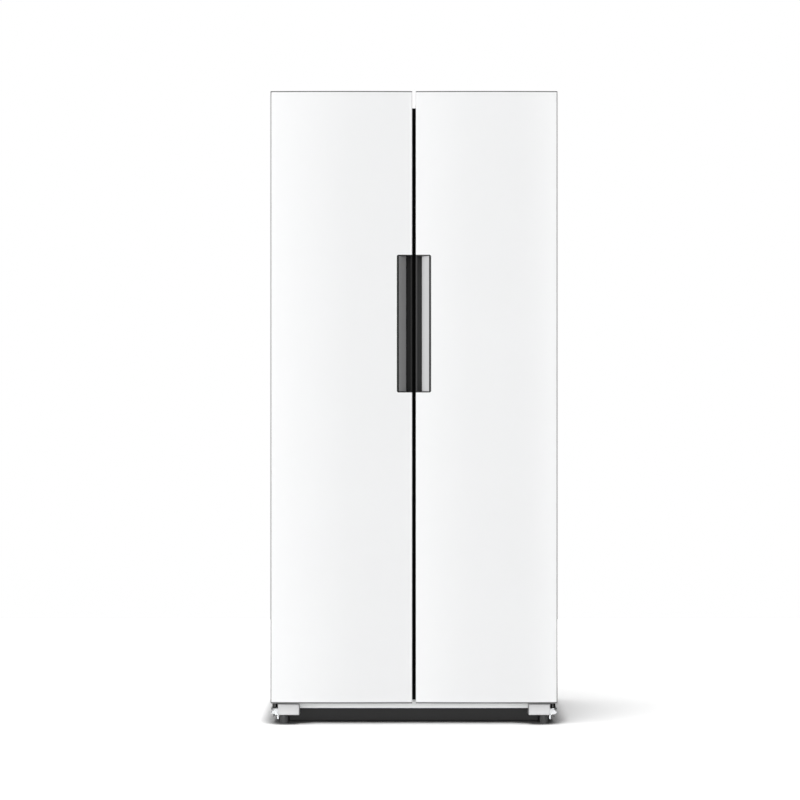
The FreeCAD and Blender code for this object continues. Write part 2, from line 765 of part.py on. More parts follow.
def door_gasket():
    x0 = mullion_cover_width / 2 + gasket_mullion_gap
    x1 = cavity_outer_x + gasket_overlap + gasket_width
    z0 = cavity_floor_z - gasket_margin - gasket_width
    z1 = cavity_top_z + gasket_margin + gasket_width
    return frame_ring(x0, x1, z0, z1, gasket_width, door_back_y, door_back_y + gasket_height)


def bin_levels():
    first = dyke_bottom_z + dyke_width + lowest_bin_rise
    pitch = (dyke_top_z - dyke_width - first) / bin_count
    return [first + pitch * step for step in range(bin_count)]


def door_bins():
    x0 = dyke_inner_x + dyke_width + bin_clearance
    x1 = dyke_outer_x - dyke_width - bin_clearance
    y1 = door_back_y + bin_depth
    bins = []
    for z in bin_levels():
        outer = box(x0, x1, door_back_y, y1, z, z + bin_height)
        outer = rounded(outer, bin_corner, lambda c: abs(c.y - y1) < 0.01 and abs(c.z - z - bin_height / 2) < 0.01)
        inner = box(x0 + bin_wall, x1 - bin_wall, door_back_y + bin_wall, y1 - bin_wall, z + bin_wall,
                    z + bin_height + 1)
        low_front = box(x0 - 1, x1 + 1, y1 - bin_low_front, y1 + 1, z + bin_height - bin_front_drop,
                        z + bin_height + 1)
        bins.append(without(outer, [inner, low_front]))
    return Part.makeCompound(bins)


# ---------------------------------------------------------------- feet and rollers
def levelling_foot():
    pad = rod(foot_radius, (foot_x, foot_y, 0), foot_height, (0, 0, 1))
    pad = pad.makeChamfer(foot_chamfer, [edge for edge in pad.Edges if len(edge.Vertexes) == 1])
    top = door_bottom - lower_cover_gap - lower_cover_wall - stud_top_gap
    stud = rod(stud_radius, (foot_x, foot_y, foot_height - 1), top - foot_height + 1, (0, 0, 1))
    return fused([pad, stud])


def rear_roller():
    tyre = rod(roller_radius, (roller_x - roller_width / 2, roller_y, roller_radius), roller_width, (1, 0, 0))
    tyre = tyre.makeChamfer(foot_chamfer, [edge for edge in tyre.Edges if len(edge.Vertexes) == 1])
    reach = roller_width / 2 + roller_side_gap + roller_ear + axle_end
    axle = rod(axle_radius, (roller_x - reach, roller_y, roller_radius), 2 * reach, (1, 0, 0))
    return fused([tyre, axle])


# ---------------------------------------------------------------- inside the compartments
def shelf_runs(back_y):
    runs = [(z, back_y) for z in shelf_levels()]
    runs.insert(0, (crisper_shelf_z, slope_foot_y + lower_drawer_back_gap))
    return runs


def glass_shelves(back_y):
    plates = [box(cavity_inner_x + shelf_side_gap, cavity_outer_x - shelf_side_gap, shelf_front_y + trim_lip,
                  end_y - trim_lip, z, z + shelf_glass) for z, end_y in shelf_runs(back_y)]
    return Part.makeCompound(plates)


def shelf_trims(back_y):
    """A front and a rear rail on each shelf, each with a groove that takes the glass."""
    x0 = cavity_inner_x + shelf_side_gap
    x1 = cavity_outer_x - shelf_side_gap
    rails = []
    for z, end_y in shelf_runs(back_y):
        glass = box(x0 - 1, x1 + 1, shelf_front_y + trim_lip, end_y - trim_lip, z, z + shelf_glass)
        top_z = z + shelf_glass + trim_lip
        for y0, y1 in ((shelf_front_y, shelf_front_y + trim_depth), (end_y - trim_depth, end_y)):
            rail = box(x0 + ledge_width, x1 - ledge_width, y0, y1, top_z - trim_height, top_z)
            rails.append(without(rail, [glass]))
    return Part.makeCompound(rails)


def lower_drawer_top():
    return crisper_shelf_z - drawer_top_gap - lower_drawer_extra_gap


def drawer(z0, z1, back_y):
    """Open-topped tray with side flanges that ride on the liner's ledges, and a thick front with a pull."""
    x0 = cavity_inner_x + drawer_side_gap
    x1 = cavity_outer_x - drawer_side_gap
    y0 = shelf_front_y
    tray = box(x0, x1, y0, back_y, z0, z1)
    tray = rounded(tray, drawer_corner, lambda c: abs(c.z - z0) < 0.01 and abs(c.y - y0) > 1)
    flange = box(cavity_inner_x + drawer_flange_gap, cavity_outer_x - drawer_flange_gap, y0 + drawer_front,
                 back_y, z1 - drawer_wall, z1)
    half = drawer_pull_length / 2
    pull = box(cavity_middle_x - half, cavity_middle_x + half, y0 - drawer_handle_depth, y0,
               z1 - drawer_handle_height, z1)
    pull = rounded(pull, drawer_pull_round, lambda c: abs(c.y - y0 + drawer_handle_depth) < 0.01)
    inner = box(x0 + drawer_wall, x1 - drawer_wall, y0 + drawer_front, back_y - drawer_wall, z0 + drawer_wall,
                z1 + 1)
    inner = rounded(inner, drawer_inner_corner, lambda c: abs(c.z - z0 - drawer_wall) < 0.01)
    return without(fused([tray, flange, pull]), [inner])


def lower_drawer():
    return drawer(cavity_floor_z + drawer_floor_gap, lower_drawer_top(), slope_foot_y - lower_drawer_back_gap)


def upper_drawer(back_y):
    return drawer(upper_drawer_z, upper_drawer_z + upper_drawer_height, back_y)


def light_cover():
    y0 = cabinet_front_y + light_from_front
    lens = box(cavity_middle_x - light_width / 2, cavity_middle_x + light_width / 2, y0, y0 + light_depth,
               cavity_top_z - light_height, cavity_top_z)
    low_z = cavity_top_z - light_height
    return rounded(lens, light_round, lambda c: abs(c.z - low_z) < 0.01)


# ---------------------------------------------------------------- cooling
def finned_coil(x0, x1, y0, y1, z0, z1, rows):
    """Upright fins across a stack of level tubes."""
    pieces = []
    pitch = (x1 - x0 - coil_fin_thickness) / (coil_fins - 1)
    for step in range(coil_fins):
        x = x0 + pitch * step
        pieces.append(box(x, x + coil_fin_thickness, y0, y1, z0, z1))
    for row in range(rows):
        z = z0 + (z1 - z0) * (row + 0.5) / rows
        for y in (y0 + (y1 - y0) * 0.25, y0 + (y1 - y0) * 0.75):
            tube_length = x1 - x0 + 2 * coil_tube_end
            pieces.append(rod(coil_tube_radius, (x0 - coil_tube_end, y, z), tube_length, (1, 0, 0)))
    return fused(pieces)


def evaporator():
    y1 = cavity_back_y - evaporator_back_gap
    z0 = hump_top_z + evaporator_rise
    coil = finned_coil(cavity_inner_x + evaporator_side_gap, cavity_outer_x - evaporator_side_gap,
                       y1 - evaporator_depth, y1, z0, z0 + evaporator_height, evaporator_rows)
    return mirrored(coil)


def fan(radius):
    """Impeller on the Z axis, hub from 0 upwards, its shaft below."""
    pieces = [rod(fan_hub_radius, (0, 0, 0), fan_hub_length, (0, 0, 1))]
    pieces.append(rod(fan_shaft_radius, (0, 0, -fan_shaft_length), fan_shaft_length + 1, (0, 0, 1)))
    for step in range(fan_blades):
        blade = box(fan_hub_radius - 3, radius, -fan_blade_chord / 2, fan_blade_chord / 2,
                    -fan_blade_thickness / 2, fan_blade_thickness / 2)
        blade.rotate(FreeCAD.Vector(0, 0, 0), FreeCAD.Vector(1, 0, 0), fan_blade_pitch)
        blade.translate(FreeCAD.Vector(0, 0, fan_hub_length / 2))
        blade.rotate(FreeCAD.Vector(0, 0, 0), FreeCAD.Vector(0, 0, 1), 360.0 / fan_blades * step)
        pieces.append(blade)
    whole = fused(pieces)
    return whole.common(rod(radius, (0, 0, -fan_shaft_length - 1), 100, (0, 0, 1)))


def fan_motor(base):
    """Motor below a fan's hub, with the bore that takes the fan's shaft."""
    motor = rod(fan_motor_radius, (0, 0, -fan_gap - fan_motor_length), fan_motor_length, (0, 0, 1))
    bore = rod(fan_shaft_radius + fan_shaft_clearance, (0, 0, -fan_shaft_length - fan_gap), fan_shaft_length + 10,
               (0, 0, 1))
    spokes = []
    for step in range(3):
        back_z = -fan_gap - fan_motor_length
        spoke = box(0, base, -spoke_width / 2, spoke_width / 2, back_z, back_z + fan_spoke_thickness)
        spoke.rotate(FreeCAD.Vector(0, 0, 0), FreeCAD.Vector(0, 0, 1), 120.0 * step + 90.0)
        spokes.append(spoke)
    return without(fused([motor] + spokes), [bore])


def facing(shape, axis, angle, place):
    moved = shape.copy()
    moved.rotate(FreeCAD.Vector(0, 0, 0), FreeCAD.Vector(*axis), angle)
    moved.translate(FreeCAD.Vector(*place))
    return moved


def evaporator_fan_place():
    z = hump_top_z + evaporator_rise + evaporator_height + evaporator_fan_rise + evaporator_fan_radius
    return -cavity_middle_x, duct_front_y + duct_cover_wall + evaporator_fan_gap, z


def evaporator_fan():
    x, y, z = evaporator_fan_place()
    return facing(fan(evaporator_fan_radius), (1, 0, 0), 90, (x, y + fan_hub_length, z))


def freezer_duct_cover():
    """Cover over the evaporator, with a fan grille, a return slot, outlet slots and the fan's motor."""
    x0 = -cavity_outer_x + duct_side_gap
    x1 = -cavity_inner_x - duct_side_gap
    low_z = hump_top_z + duct_side_gap
    top_z = cavity_top_z - duct_top_gap
    plate_back_y = duct_front_y + duct_cover_wall
    end_y = cavity_back_y - duct_side_gap
    plate = box(x0, x1, duct_front_y, plate_back_y, low_z, top_z)
    sides = [box(x, x + duct_cover_wall, duct_front_y, end_y, low_z, top_z) for x in (x0, x1 - duct_cover_wall)]
    roof = box(x0, x1, duct_front_y, end_y, top_z - duct_cover_wall, top_z)
    fan_x, fan_y, fan_z = evaporator_fan_place()
    cuts = []
    rows = int(evaporator_fan_radius * fan_grille_share / vent_slot_pitch)
    for row in range(-rows, rows + 1):
        half = math.sqrt((evaporator_fan_radius * fan_grille_share) ** 2 - (row * vent_slot_pitch) ** 2)
        z = fan_z + row * vent_slot_pitch - vent_slot_height / 2
        cuts.append(box(fan_x - half, fan_x + half, duct_front_y - 1, plate_back_y + 1, z, z + vent_slot_height))
    half = duct_slot_length / 2
    for z in (hump_top_z + return_slot_rise, top_z - outlet_slot_drop, top_z - outlet_slot_drop - vent_slot_pitch):
        cuts.append(box(fan_x - half, fan_x + half, duct_front_y - 1, plate_back_y + 1, z, z + vent_slot_height))
    motor = facing(fan_motor(evaporator_fan_radius + fan_tip_gap), (1, 0, 0), 90,
                   (fan_x, fan_y + fan_hub_length, fan_z))
    bar_y = motor.BoundBox.YMax
    bar = box(x0, x1, bar_y - duct_motor_bar_depth, bar_y, fan_z - duct_motor_bar / 2, fan_z + duct_motor_bar / 2)
    return without(fused([plate, roof, motor, bar] + sides), cuts)


def fridge_duct():
    """Air column on the back wall, with a pair of outlet slots above each shelf."""
    half = air_duct_width / 2
    column = box(cavity_middle_x - half, cavity_middle_x + half, cavity_back_y - air_duct_depth, cavity_back_y,
                 hump_top_z + air_duct_rise, cavity_top_z - air_duct_top_gap)
    front = cavity_back_y - air_duct_depth
    column = rounded(column, air_duct_round, lambda c: abs(c.y - front) < 0.01)
    inner = half - air_duct_wall
    hollow = box(cavity_middle_x - inner, cavity_middle_x + inner, front + air_duct_wall, cavity_back_y + 1,
                 hump_top_z + air_duct_rise + air_duct_wall, cavity_top_z - air_duct_top_gap - air_duct_wall)
    slots = []
    for z in shelf_levels():
        for side in (-1, 1):
            x = cavity_middle_x + side * half / 2
            slots.append(box(x - air_slot_width / 2, x + air_slot_width / 2, front - 1, front + air_duct_wall + 1,
                             z + shelf_pitch / 2, z + shelf_pitch / 2 + air_slot_height))
    return without(column, [hollow] + slots)


def compressor_place():
    return -panel_x + compressor_from_side, machine_middle_y


def compressor():
    x, y = compressor_place()
    half_length = compressor_plate_length / 2
    half_width = compressor_plate_width / 2
    plate_z = base_top_z + compressor_mount_height
    can_z = plate_z + compressor_foot_plate
    can_top_z = can_z + compressor_height
    plate = box(x - half_length, x + half_length, y - half_width, y + half_width, plate_z, can_z)
    can = rod(compressor_radius, (x, y, can_z), compressor_height, (0, 0, 1))
    can = can.makeFillet(compressor_round, [edge for edge in can.Edges if len(edge.Vertexes) == 1])
    seat = rod(compressor_radius - compressor_round, (x, y, plate_z), compressor_round, (0, 0, 1))
    seam = rod(compressor_radius + compressor_seam_step, (x, y, can_z + compressor_height * compressor_seam_share),
               compressor_seam, (0, 0, 1))
    tube = rod(suction_tube_radius, (x + suction_tube_offset, y, can_top_z - 1), suction_tube_length + 1,
               (0, 0, 1))
    return fused([plate, seat, can, seam, tube])


def compressor_mounts():
    x, y = compressor_place()
    grommets = []
    for side in (-1, 1):
        for end in (-1, 1):
            place = (x + side * (compressor_plate_length / 2 - compressor_mount_inset),
                     y + end * (compressor_plate_width / 2 - compressor_mount_inset), base_top_z)
            grommets.append(rod(compressor_mount_radius, place, compressor_mount_height, (0, 0, 1)))
    return Part.makeCompound(grommets)


def condenser():
    x1 = panel_x - condenser_from_side
    y0 = machine_middle_y - condenser_depth / 2
    y1 = machine_middle_y + condenser_depth / 2
    z0 = base_top_z + machine_floor_gap
    coil = finned_coil(x1 - condenser_length, x1, y0, y1, z0,
                       z0 + condenser_height, condenser_rows)
    feet = [box(x, x + condenser_foot, y0, y1, base_top_z, z0 + 1)
            for x in (x1 - condenser_length, x1 - condenser_foot)]
    return fused([coil] + feet)


def condenser_fan_place():
    x = panel_x - condenser_from_side - condenser_length - condenser_fan_gap - fan_hub_length
    z = base_top_z + machine_floor_gap + condenser_height / 2 + condenser_fan_rise
    return x, machine_middle_y, z


def condenser_fan():
    return facing(fan(condenser_fan_radius), (0, 1, 0), 90, condenser_fan_place())


def fan_bracket():
    """Plate with a round opening for the fan, and the motor carried on three spokes."""
    x, y, z = condenser_fan_place()
    half = fan_bracket_size / 2
    half_depth = machine_cover_y - y - fan_bracket_cover_gap
    plate_x = x + fan_hub_length / 2
    plate = box(plate_x, plate_x + fan_bracket_sheet, y - half_depth, y + half_depth, base_top_z, z + half)
    hole = rod(condenser_fan_radius + fan_tip_gap, (plate_x - 1, y, z), fan_bracket_sheet + 2, (1, 0, 0))
    motor = facing(fan_motor(condenser_fan_radius + fan_tip_gap + 4), (0, 1, 0), 90, (x, y, z))
    rear = motor.BoundBox.XMin
    legs = []
    reach = condenser_fan_radius + fan_tip_gap + fan_bracket_sheet
    for step in range(3):
        angle = math.radians(120.0 * step + 90.0)
        legs.append(rod(fan_bracket_leg_radius, (rear, y + reach * math.sin(angle), z - reach * math.cos(angle)),
                        plate_x - rear + 1, (1, 0, 0)))
    return fused([without(plate, [hole]), motor] + legs)


def drip_tray():
    x, y = compressor_place()
    can_z = base_top_z + compressor_mount_height + compressor_foot_plate
    z0 = can_z + compressor_height + compressor_tray_gap
    x0 = x - drip_tray_length / 2
    y0 = y - drip_tray_width / 2
    wall = drip_tray_wall
    outer = box(x0, x0 + drip_tray_length, y0, y0 + drip_tray_width, z0, z0 + drip_tray_height)
    inner = box(x0 + wall, x0 + drip_tray_length - wall, y0 + wall, y0 + drip_tray_width - wall, z0 + wall,
                z0 + drip_tray_height + 1)
    return without(outer, [inner])


def gland_place():
    return panel_x - gland_from_side, base_top_z + gland_height


def mains_gland():
    x, z = gland_place()
    y0 = machine_cover_y - gland_length / 2
    body = rod(gland_radius, (x, y0, z), rear_y - y0, (0, 1, 0))
    flange = rod(gland_flange_radius, (x, machine_cover_y - gland_flange, z), gland_flange, (0, 1, 0))
    return without(fused([body, flange]), [rod(gland_hole_radius, (x, y0 - 1, z), gland_length * 2, (0, 1, 0))])


def machine_screw_places():
    z0 = base_top_z + machine_screw_inset
    z1 = machine_top_z - machine_screw_inset
    inner_x = condenser_fan_place()[0] + fan_hub_length / 2 + machine_screw_from_fan
    outer_x = panel_x - machine_screw_inset
    return [(side * x, z) for side in (-1, 1) for x in (outer_x, inner_x) for z in (z0, z1)]


def machine_cover():
    plate = box(-panel_x + 0.5, panel_x - 0.5, machine_cover_y, machine_cover_y + machine_cover_sheet,
                base_top_z, machine_top_z)
    cuts = []
    x, z = gland_place()
    cuts.append(rod(gland_radius, (x, machine_cover_y - 1, z), 4, (0, 1, 0)))
    for x, z in machine_screw_places():
        cuts.append(rod(screw_shank_radius + screw_hole_clearance, (x, machine_cover_y - 1, z), 4, (0, 1, 0)))
    rows = int((machine_top_z - base_top_z - 2 * vent_margin) / vent_slot_pitch)
    for column in range(vent_columns):
        x0 = (column - vent_columns / 2) * (vent_slot_length + vent_column_gap) + vent_column_gap / 2
        for row in range(rows):
            z0 = base_top_z + vent_margin + row * vent_slot_pitch
            cuts.append(box(x0, x0 + vent_slot_length, machine_cover_y - 1, rear_y, z0, z0 + vent_slot_height))
    return without(plate, cuts)


def screw(head_place, direction, length):
    x, y, z = head_place
    dx, dy, dz = direction
    head = rod(screw_head_radius, head_place, screw_head_height, direction)
    edges = [edge for edge in head.Edges if len(edge.Vertexes) == 1]
    far = max(edges, key=lambda e: e.CenterOfMass.dot(FreeCAD.Vector(*direction)))
    head = head.makeFillet(screw_head_round, [far])
    shank = rod(screw_shank_radius, (x - dx * length, y - dy * length, z - dz * length), length + 1, direction)
    return fused([head, shank])


def cabinet_screws():
    screws = [screw((x, machine_cover_y + machine_cover_sheet, z), (0, 1, 0), screw_length)
              for x, z in machine_screw_places()]
    for x, y in hinge_screw_places():
        top = screw((x, y, cabinet_top_z + hinge_plate), (0, 0, 1), hinge_plate + sheet)
        screws += [top, mirrored(top)]
    return Part.makeCompound(screws)


# ---------------------------------------------------------------- the nodes
nodes = {
    "side_panel_left": mirrored(side_panel()),
    "side_panel_right": side_panel(),
    "top_panel": top_panel(),
    "rear_panel": rear_panel(),
    "base_frame": base_frame(),
    "foam_core": foam_core(),
    "freezer_liner": mirrored(liner(freezer_shelf_back_y)),
    "fridge_liner": liner(fridge_shelf_back_y),
    "front_frame": front_frame(),
    "mullion_cover": mullion_cover(),
    "kick_plate": kick_plate(),
    "lower_hinge_left": mirrored(lower_hinge()),
    "lower_hinge_right": lower_hinge(),
    "lower_hinge_covers": both_sides(lower_hinge_cover()),
    "upper_hinge_left": mirrored(upper_hinge()),
    "upper_hinge_right": upper_hinge(),
    "upper_hinge_covers": both_sides(upper_hinge_cover()),
    "door_closers": both_sides(door_closer()),
    "levelling_foot_left": mirrored(levelling_foot()),
    "levelling_foot_right": levelling_foot(),
    "rear_roller_left": mirrored(rear_roller()),
    "rear_roller_right": rear_roller(),
    "compressor": compressor(),
    "compressor_mounts": compressor_mounts(),
    "condenser": condenser(),
    "condenser_fan": condenser_fan(),
    "fan_bracket": fan_bracket(),
    "drip_tray": drip_tray(),
    "machine_cover": machine_cover(),
    "mains_gland": mains_gland(),
    "evaporator": evaporator(),
    "evaporator_fan": evaporator_fan(),
    "freezer_duct_cover": freezer_duct_cover(),
    "fridge_air_duct": fridge_duct(),
    "light_covers": both_sides(light_cover()),
    "freezer_shelves": mirrored(glass_shelves(freezer_shelf_back_y)),
    "freezer_shelf_trims": mirrored(shelf_trims(freezer_shelf_back_y)),
    "fridge_shelves": glass_shelves(fridge_shelf_back_y),
    "fridge_shelf_trims": shelf_trims(fridge_shelf_back_y),
    "freezer_drawer_lower": mirrored(lower_drawer()),
    "freezer_drawer_upper": mirrored(upper_drawer(freezer_shelf_back_y)),
    "crisper_drawer": lower_drawer(),
    "chill_drawer": upper_drawer(fridge_shelf_back_y),
    "cabinet_screws": cabinet_screws(),
}

door_pieces = {
    "skin": door_skin,
    "caps": door_caps,
    "edge": door_edge,
    "grip": door_grip,
    "foam": door_foam,
    "liner": door_liner,
    "gasket": door_gasket,
    "bins": door_bins,
}
for piece, make in door_pieces.items():
    shape = make()
    nodes["fridge_door_" + piece] = shape
    nodes["freezer_door_" + piece] = mirrored(shape)

os.makedirs("parts", exist_ok=True)
for name, shape in nodes.items():
    shape.exportStep("parts/" + name + ".step")
print(len(nodes), "nodes")
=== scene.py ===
import bpy
import bmesh
import json
import math
from mathutils import Matrix, Vector


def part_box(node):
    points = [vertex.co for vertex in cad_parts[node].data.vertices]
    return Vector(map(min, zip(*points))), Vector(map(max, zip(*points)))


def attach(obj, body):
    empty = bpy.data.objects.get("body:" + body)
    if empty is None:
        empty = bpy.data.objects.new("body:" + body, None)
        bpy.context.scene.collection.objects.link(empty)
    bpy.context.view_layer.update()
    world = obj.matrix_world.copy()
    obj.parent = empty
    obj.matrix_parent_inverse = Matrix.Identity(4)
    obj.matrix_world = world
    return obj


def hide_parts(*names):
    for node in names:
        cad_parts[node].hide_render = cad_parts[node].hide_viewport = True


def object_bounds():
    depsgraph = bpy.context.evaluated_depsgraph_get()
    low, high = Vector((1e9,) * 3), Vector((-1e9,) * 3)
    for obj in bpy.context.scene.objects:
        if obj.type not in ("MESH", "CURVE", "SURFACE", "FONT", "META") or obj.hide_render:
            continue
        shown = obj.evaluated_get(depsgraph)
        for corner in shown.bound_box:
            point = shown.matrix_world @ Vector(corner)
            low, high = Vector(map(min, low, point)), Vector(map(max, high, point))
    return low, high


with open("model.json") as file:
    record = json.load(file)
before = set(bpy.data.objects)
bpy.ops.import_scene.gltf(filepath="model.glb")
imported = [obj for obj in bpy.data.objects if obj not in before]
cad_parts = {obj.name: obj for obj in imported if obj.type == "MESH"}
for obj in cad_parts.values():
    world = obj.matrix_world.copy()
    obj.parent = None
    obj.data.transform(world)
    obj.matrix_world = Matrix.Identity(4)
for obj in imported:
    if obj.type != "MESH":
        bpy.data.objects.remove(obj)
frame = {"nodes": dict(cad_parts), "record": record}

cad_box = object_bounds()

# ---------------------------------------------------------------- camera
# The camera stands square to the doors, eight metres back at chest height.
door_front_y = cad_box[0][1]
camera_distance = 8.0
camera_height = 0.907
camera_side = -0.0391
seen_width = 2.2344
camera = bpy.data.objects.new("camera", bpy.data.cameras.new("camera"))
bpy.context.scene.collection.objects.link(camera)
camera.location = (camera_side, door_front_y - camera_distance, camera_height)
camera.rotation_euler = (math.radians(90), 0, 0)
camera.data.sensor_width = 36.0
camera.data.lens = camera.data.sensor_width * camera_distance / seen_width
camera.data.clip_end = 60.0
bpy.context.scene.camera = camera

# ---------------------------------------------------------------- studio
# A plain pale floor and a white sweep all round. The sweep gives most light from the left and little from the
# far right, so that the two slanting grip strips take different tones. The floor's seen colour is darkened close
# to the base by an occlusion node, a painted contact shadow, and a low strip in front lights the base.
def set_inputs(node, values):
    for label, value in values.items():
        node.inputs[label].default_value = value


bpy.context.scene.view_settings.view_transform = "Standard"
floor_z = cad_box[0][2]
floor_reach = 20.0
floor_behind = 3.5
floor_painted_shadow_reach = 0.055
floor_mesh = bpy.data.meshes.new("studio_floor")
floor_mesh.from_pydata([(-floor_reach, -floor_reach, floor_z), (floor_reach, -floor_reach, floor_z),
                        (floor_reach, floor_behind, floor_z), (-floor_reach, floor_behind, floor_z)], [],
                       [(0, 1, 2, 3)])
studio_floor = bpy.data.objects.new("studio_floor", floor_mesh)
bpy.context.scene.collection.objects.link(studio_floor)
floor_paint = bpy.data.materials.new("studio_floor_paint")
floor_paint.use_nodes = True
floor_nodes = floor_paint.node_tree.nodes
floor_links = floor_paint.node_tree.links
floor_nodes.clear()
seen_floor = floor_nodes.new("ShaderNodeBsdfDiffuse")
# The occlusion node darkens the floor's seen colour within a few centimetres of the base: a painted contact shadow.
painted_contact_shadow = floor_nodes.new("ShaderNodeAmbientOcclusion")
painted_contact_shadow.samples = 16
set_inputs(painted_contact_shadow, {"Distance": floor_painted_shadow_reach})
painted_shadow_depth = floor_nodes.new("ShaderNodeMapRange")
set_inputs(painted_shadow_depth, {"From Min": 0.5, "To Min": 0.2, "To Max": 1.45})
lit_floor = floor_nodes.new("ShaderNodeBsdfDiffuse")
set_inputs(lit_floor, {"Color": (0.9, 0.9, 0.9, 1)})
floor_ray = floor_nodes.new("ShaderNodeLightPath")
floor_mix = floor_nodes.new("ShaderNodeMixShader")
floor_out = floor_nodes.new("ShaderNodeOutputMaterial")
floor_links.new(painted_contact_shadow.outputs["AO"], painted_shadow_depth.inputs["Value"])
floor_links.new(painted_shadow_depth.outputs["Result"], seen_floor.inputs["Color"])
floor_links.new(floor_ray.outputs["Is Camera Ray"], floor_mix.inputs["Fac"])
floor_links.new(lit_floor.outputs["BSDF"], floor_mix.inputs[1])
floor_links.new(seen_floor.outputs["BSDF"], floor_mix.inputs[2])
floor_links.new(floor_mix.outputs["Shader"], floor_out.inputs["Surface"])
floor_mesh.materials.append(floor_paint)
studio_floor.visible_glossy = False

sweep = bpy.data.worlds.new("white_sweep")
sweep.use_nodes = True
sweep_nodes = sweep.node_tree.nodes
sweep_links = sweep.node_tree.links
seen_sweep = sweep_nodes["Background"]
set_inputs(seen_sweep, {"Color": (1, 1, 1, 1), "Strength": 1.0})
direction = sweep_nodes.new("ShaderNodeTexCoord")
axes = sweep_nodes.new("ShaderNodeSeparateXYZ")
side_light = sweep_nodes.new("ShaderNodeValToRGB")
across = sweep_nodes.new("ShaderNodeMapRange")
set_inputs(across, {"From Min": -1.0})
behind = sweep_nodes.new("ShaderNodeMapRange")
set_inputs(behind, {"From Min": -0.05, "From Max": 0.3, "To Min": 1.0, "To Max": 0.45})
sweep_tones = ((-1.0, 1.5), (-0.94, 0.85), (-0.8, 0.9), (-0.6, 1.75), (-0.24, 1.6), (-0.17, 2.4), (-0.105, 1.86),
               (-0.062, 1.55), (-0.005, 1.14), (0.10, 1.14), (0.13, 1.4), (0.16, 2.1), (0.24, 1.3), (0.4, 0.95),
               (0.65, 0.32), (0.8, 0.08), (1.0, 0.08))
ends = side_light.color_ramp.elements
ends[0].position = 0.0
ends[1].position = 1.0
for where, tone in sweep_tones[1:-1]:
    ends.new((where + 1) / 2)
for stop, (where, tone) in zip(ends, sweep_tones):
    stop.color = (tone, tone, tone, 1)
given_sweep = sweep_nodes.new("ShaderNodeBackground")
sweep_ray = sweep_nodes.new("ShaderNodeLightPath")
sweep_mix = sweep_nodes.new("ShaderNodeMixShader")
sweep_links.new(direction.outputs["Generated"], axes.inputs["Vector"])
sweep_links.new(axes.outputs["X"], across.inputs["Value"])
sweep_links.new(across.outputs["Result"], side_light.inputs["Fac"])
sweep_links.new(axes.outputs["Y"], behind.inputs["Value"])
sweep_links.new(behind.outputs["Result"], given_sweep.inputs["Strength"])
sweep_links.new(side_light.outputs["Color"], given_sweep.inputs["Color"])
sweep_links.new(sweep_ray.outputs["Is Camera Ray"], sweep_mix.inputs["Fac"])
sweep_links.new(given_sweep.outputs["Background"], sweep_mix.inputs[1])
sweep_links.new(seen_sweep.outputs["Background"], sweep_mix.inputs[2])
sweep_links.new(sweep_mix.outputs["Shader"], sweep_nodes["World Output"].inputs["Surface"])
bpy.context.scene.world = sweep

low_strip = bpy.data.lights.new("low_front_strip", "AREA")
low_strip.shape = "RECTANGLE"
low_strip.size = 2.4
low_strip.size_y = 0.05
low_strip.energy = 0.115
low_strip.spread = math.radians(1)
low_front = bpy.data.objects.new("low_front_strip", low_strip)
low_front.location = (0, -3.4, 0.026)
low_front.rotation_euler = Vector((0, 1, 0)).to_track_quat("-Z", "Y").to_euler()
bpy.context.scene.collection.objects.link(low_front)


# ---------------------------------------------------------------- door skins
# Each door's front is one sheet of thin steel, coil-coated in a glossy silver white. It is rolled round the
# upright edges, bows very slightly across its width and is dark grey on its hinge side: two-tone paint that
# is also painted shade for the dark line along the rolled edge. A window is pressed out for the grip pocket.
mm = 0.001
compartments = ("freezer", "fridge")


def body_of(node):
    for body, members in frame["record"]["behaviour"]["bodies"].items():
        if node in members:
            return body


def surface_noise_group():
    """Broad and fine cloudy variation, shared by the painted and moulded finishes."""
    group = bpy.data.node_groups.new("surface_noise", "ShaderNodeTree")
    group.interface.new_socket("Place", in_out="INPUT", socket_type="NodeSocketVector")
    group.interface.new_socket("Broad scale", in_out="INPUT", socket_type="NodeSocketFloat")
    group.interface.new_socket("Fine scale", in_out="INPUT", socket_type="NodeSocketFloat")
    group.interface.new_socket("Broad", in_out="OUTPUT", socket_type="NodeSocketFloat")
    group.interface.new_socket("Fine", in_out="OUTPUT", socket_type="NodeSocketFloat")
    inlet = group.nodes.new("NodeGroupInput")
    outlet = group.nodes.new("NodeGroupOutput")
    for scale, detail, outcome in (("Broad scale", 3.0, "Broad"), ("Fine scale", 2.0, "Fine")):
        noise = group.nodes.new("ShaderNodeTexNoise")
        noise.inputs["Detail"].default_value = detail
        group.links.new(inlet.outputs["Place"], noise.inputs["Vector"])
        group.links.new(inlet.outputs[scale], noise.inputs["Scale"])
        group.links.new(noise.outputs["Fac"], outlet.inputs[outcome])
    return group


surface_noise = surface_noise_group()


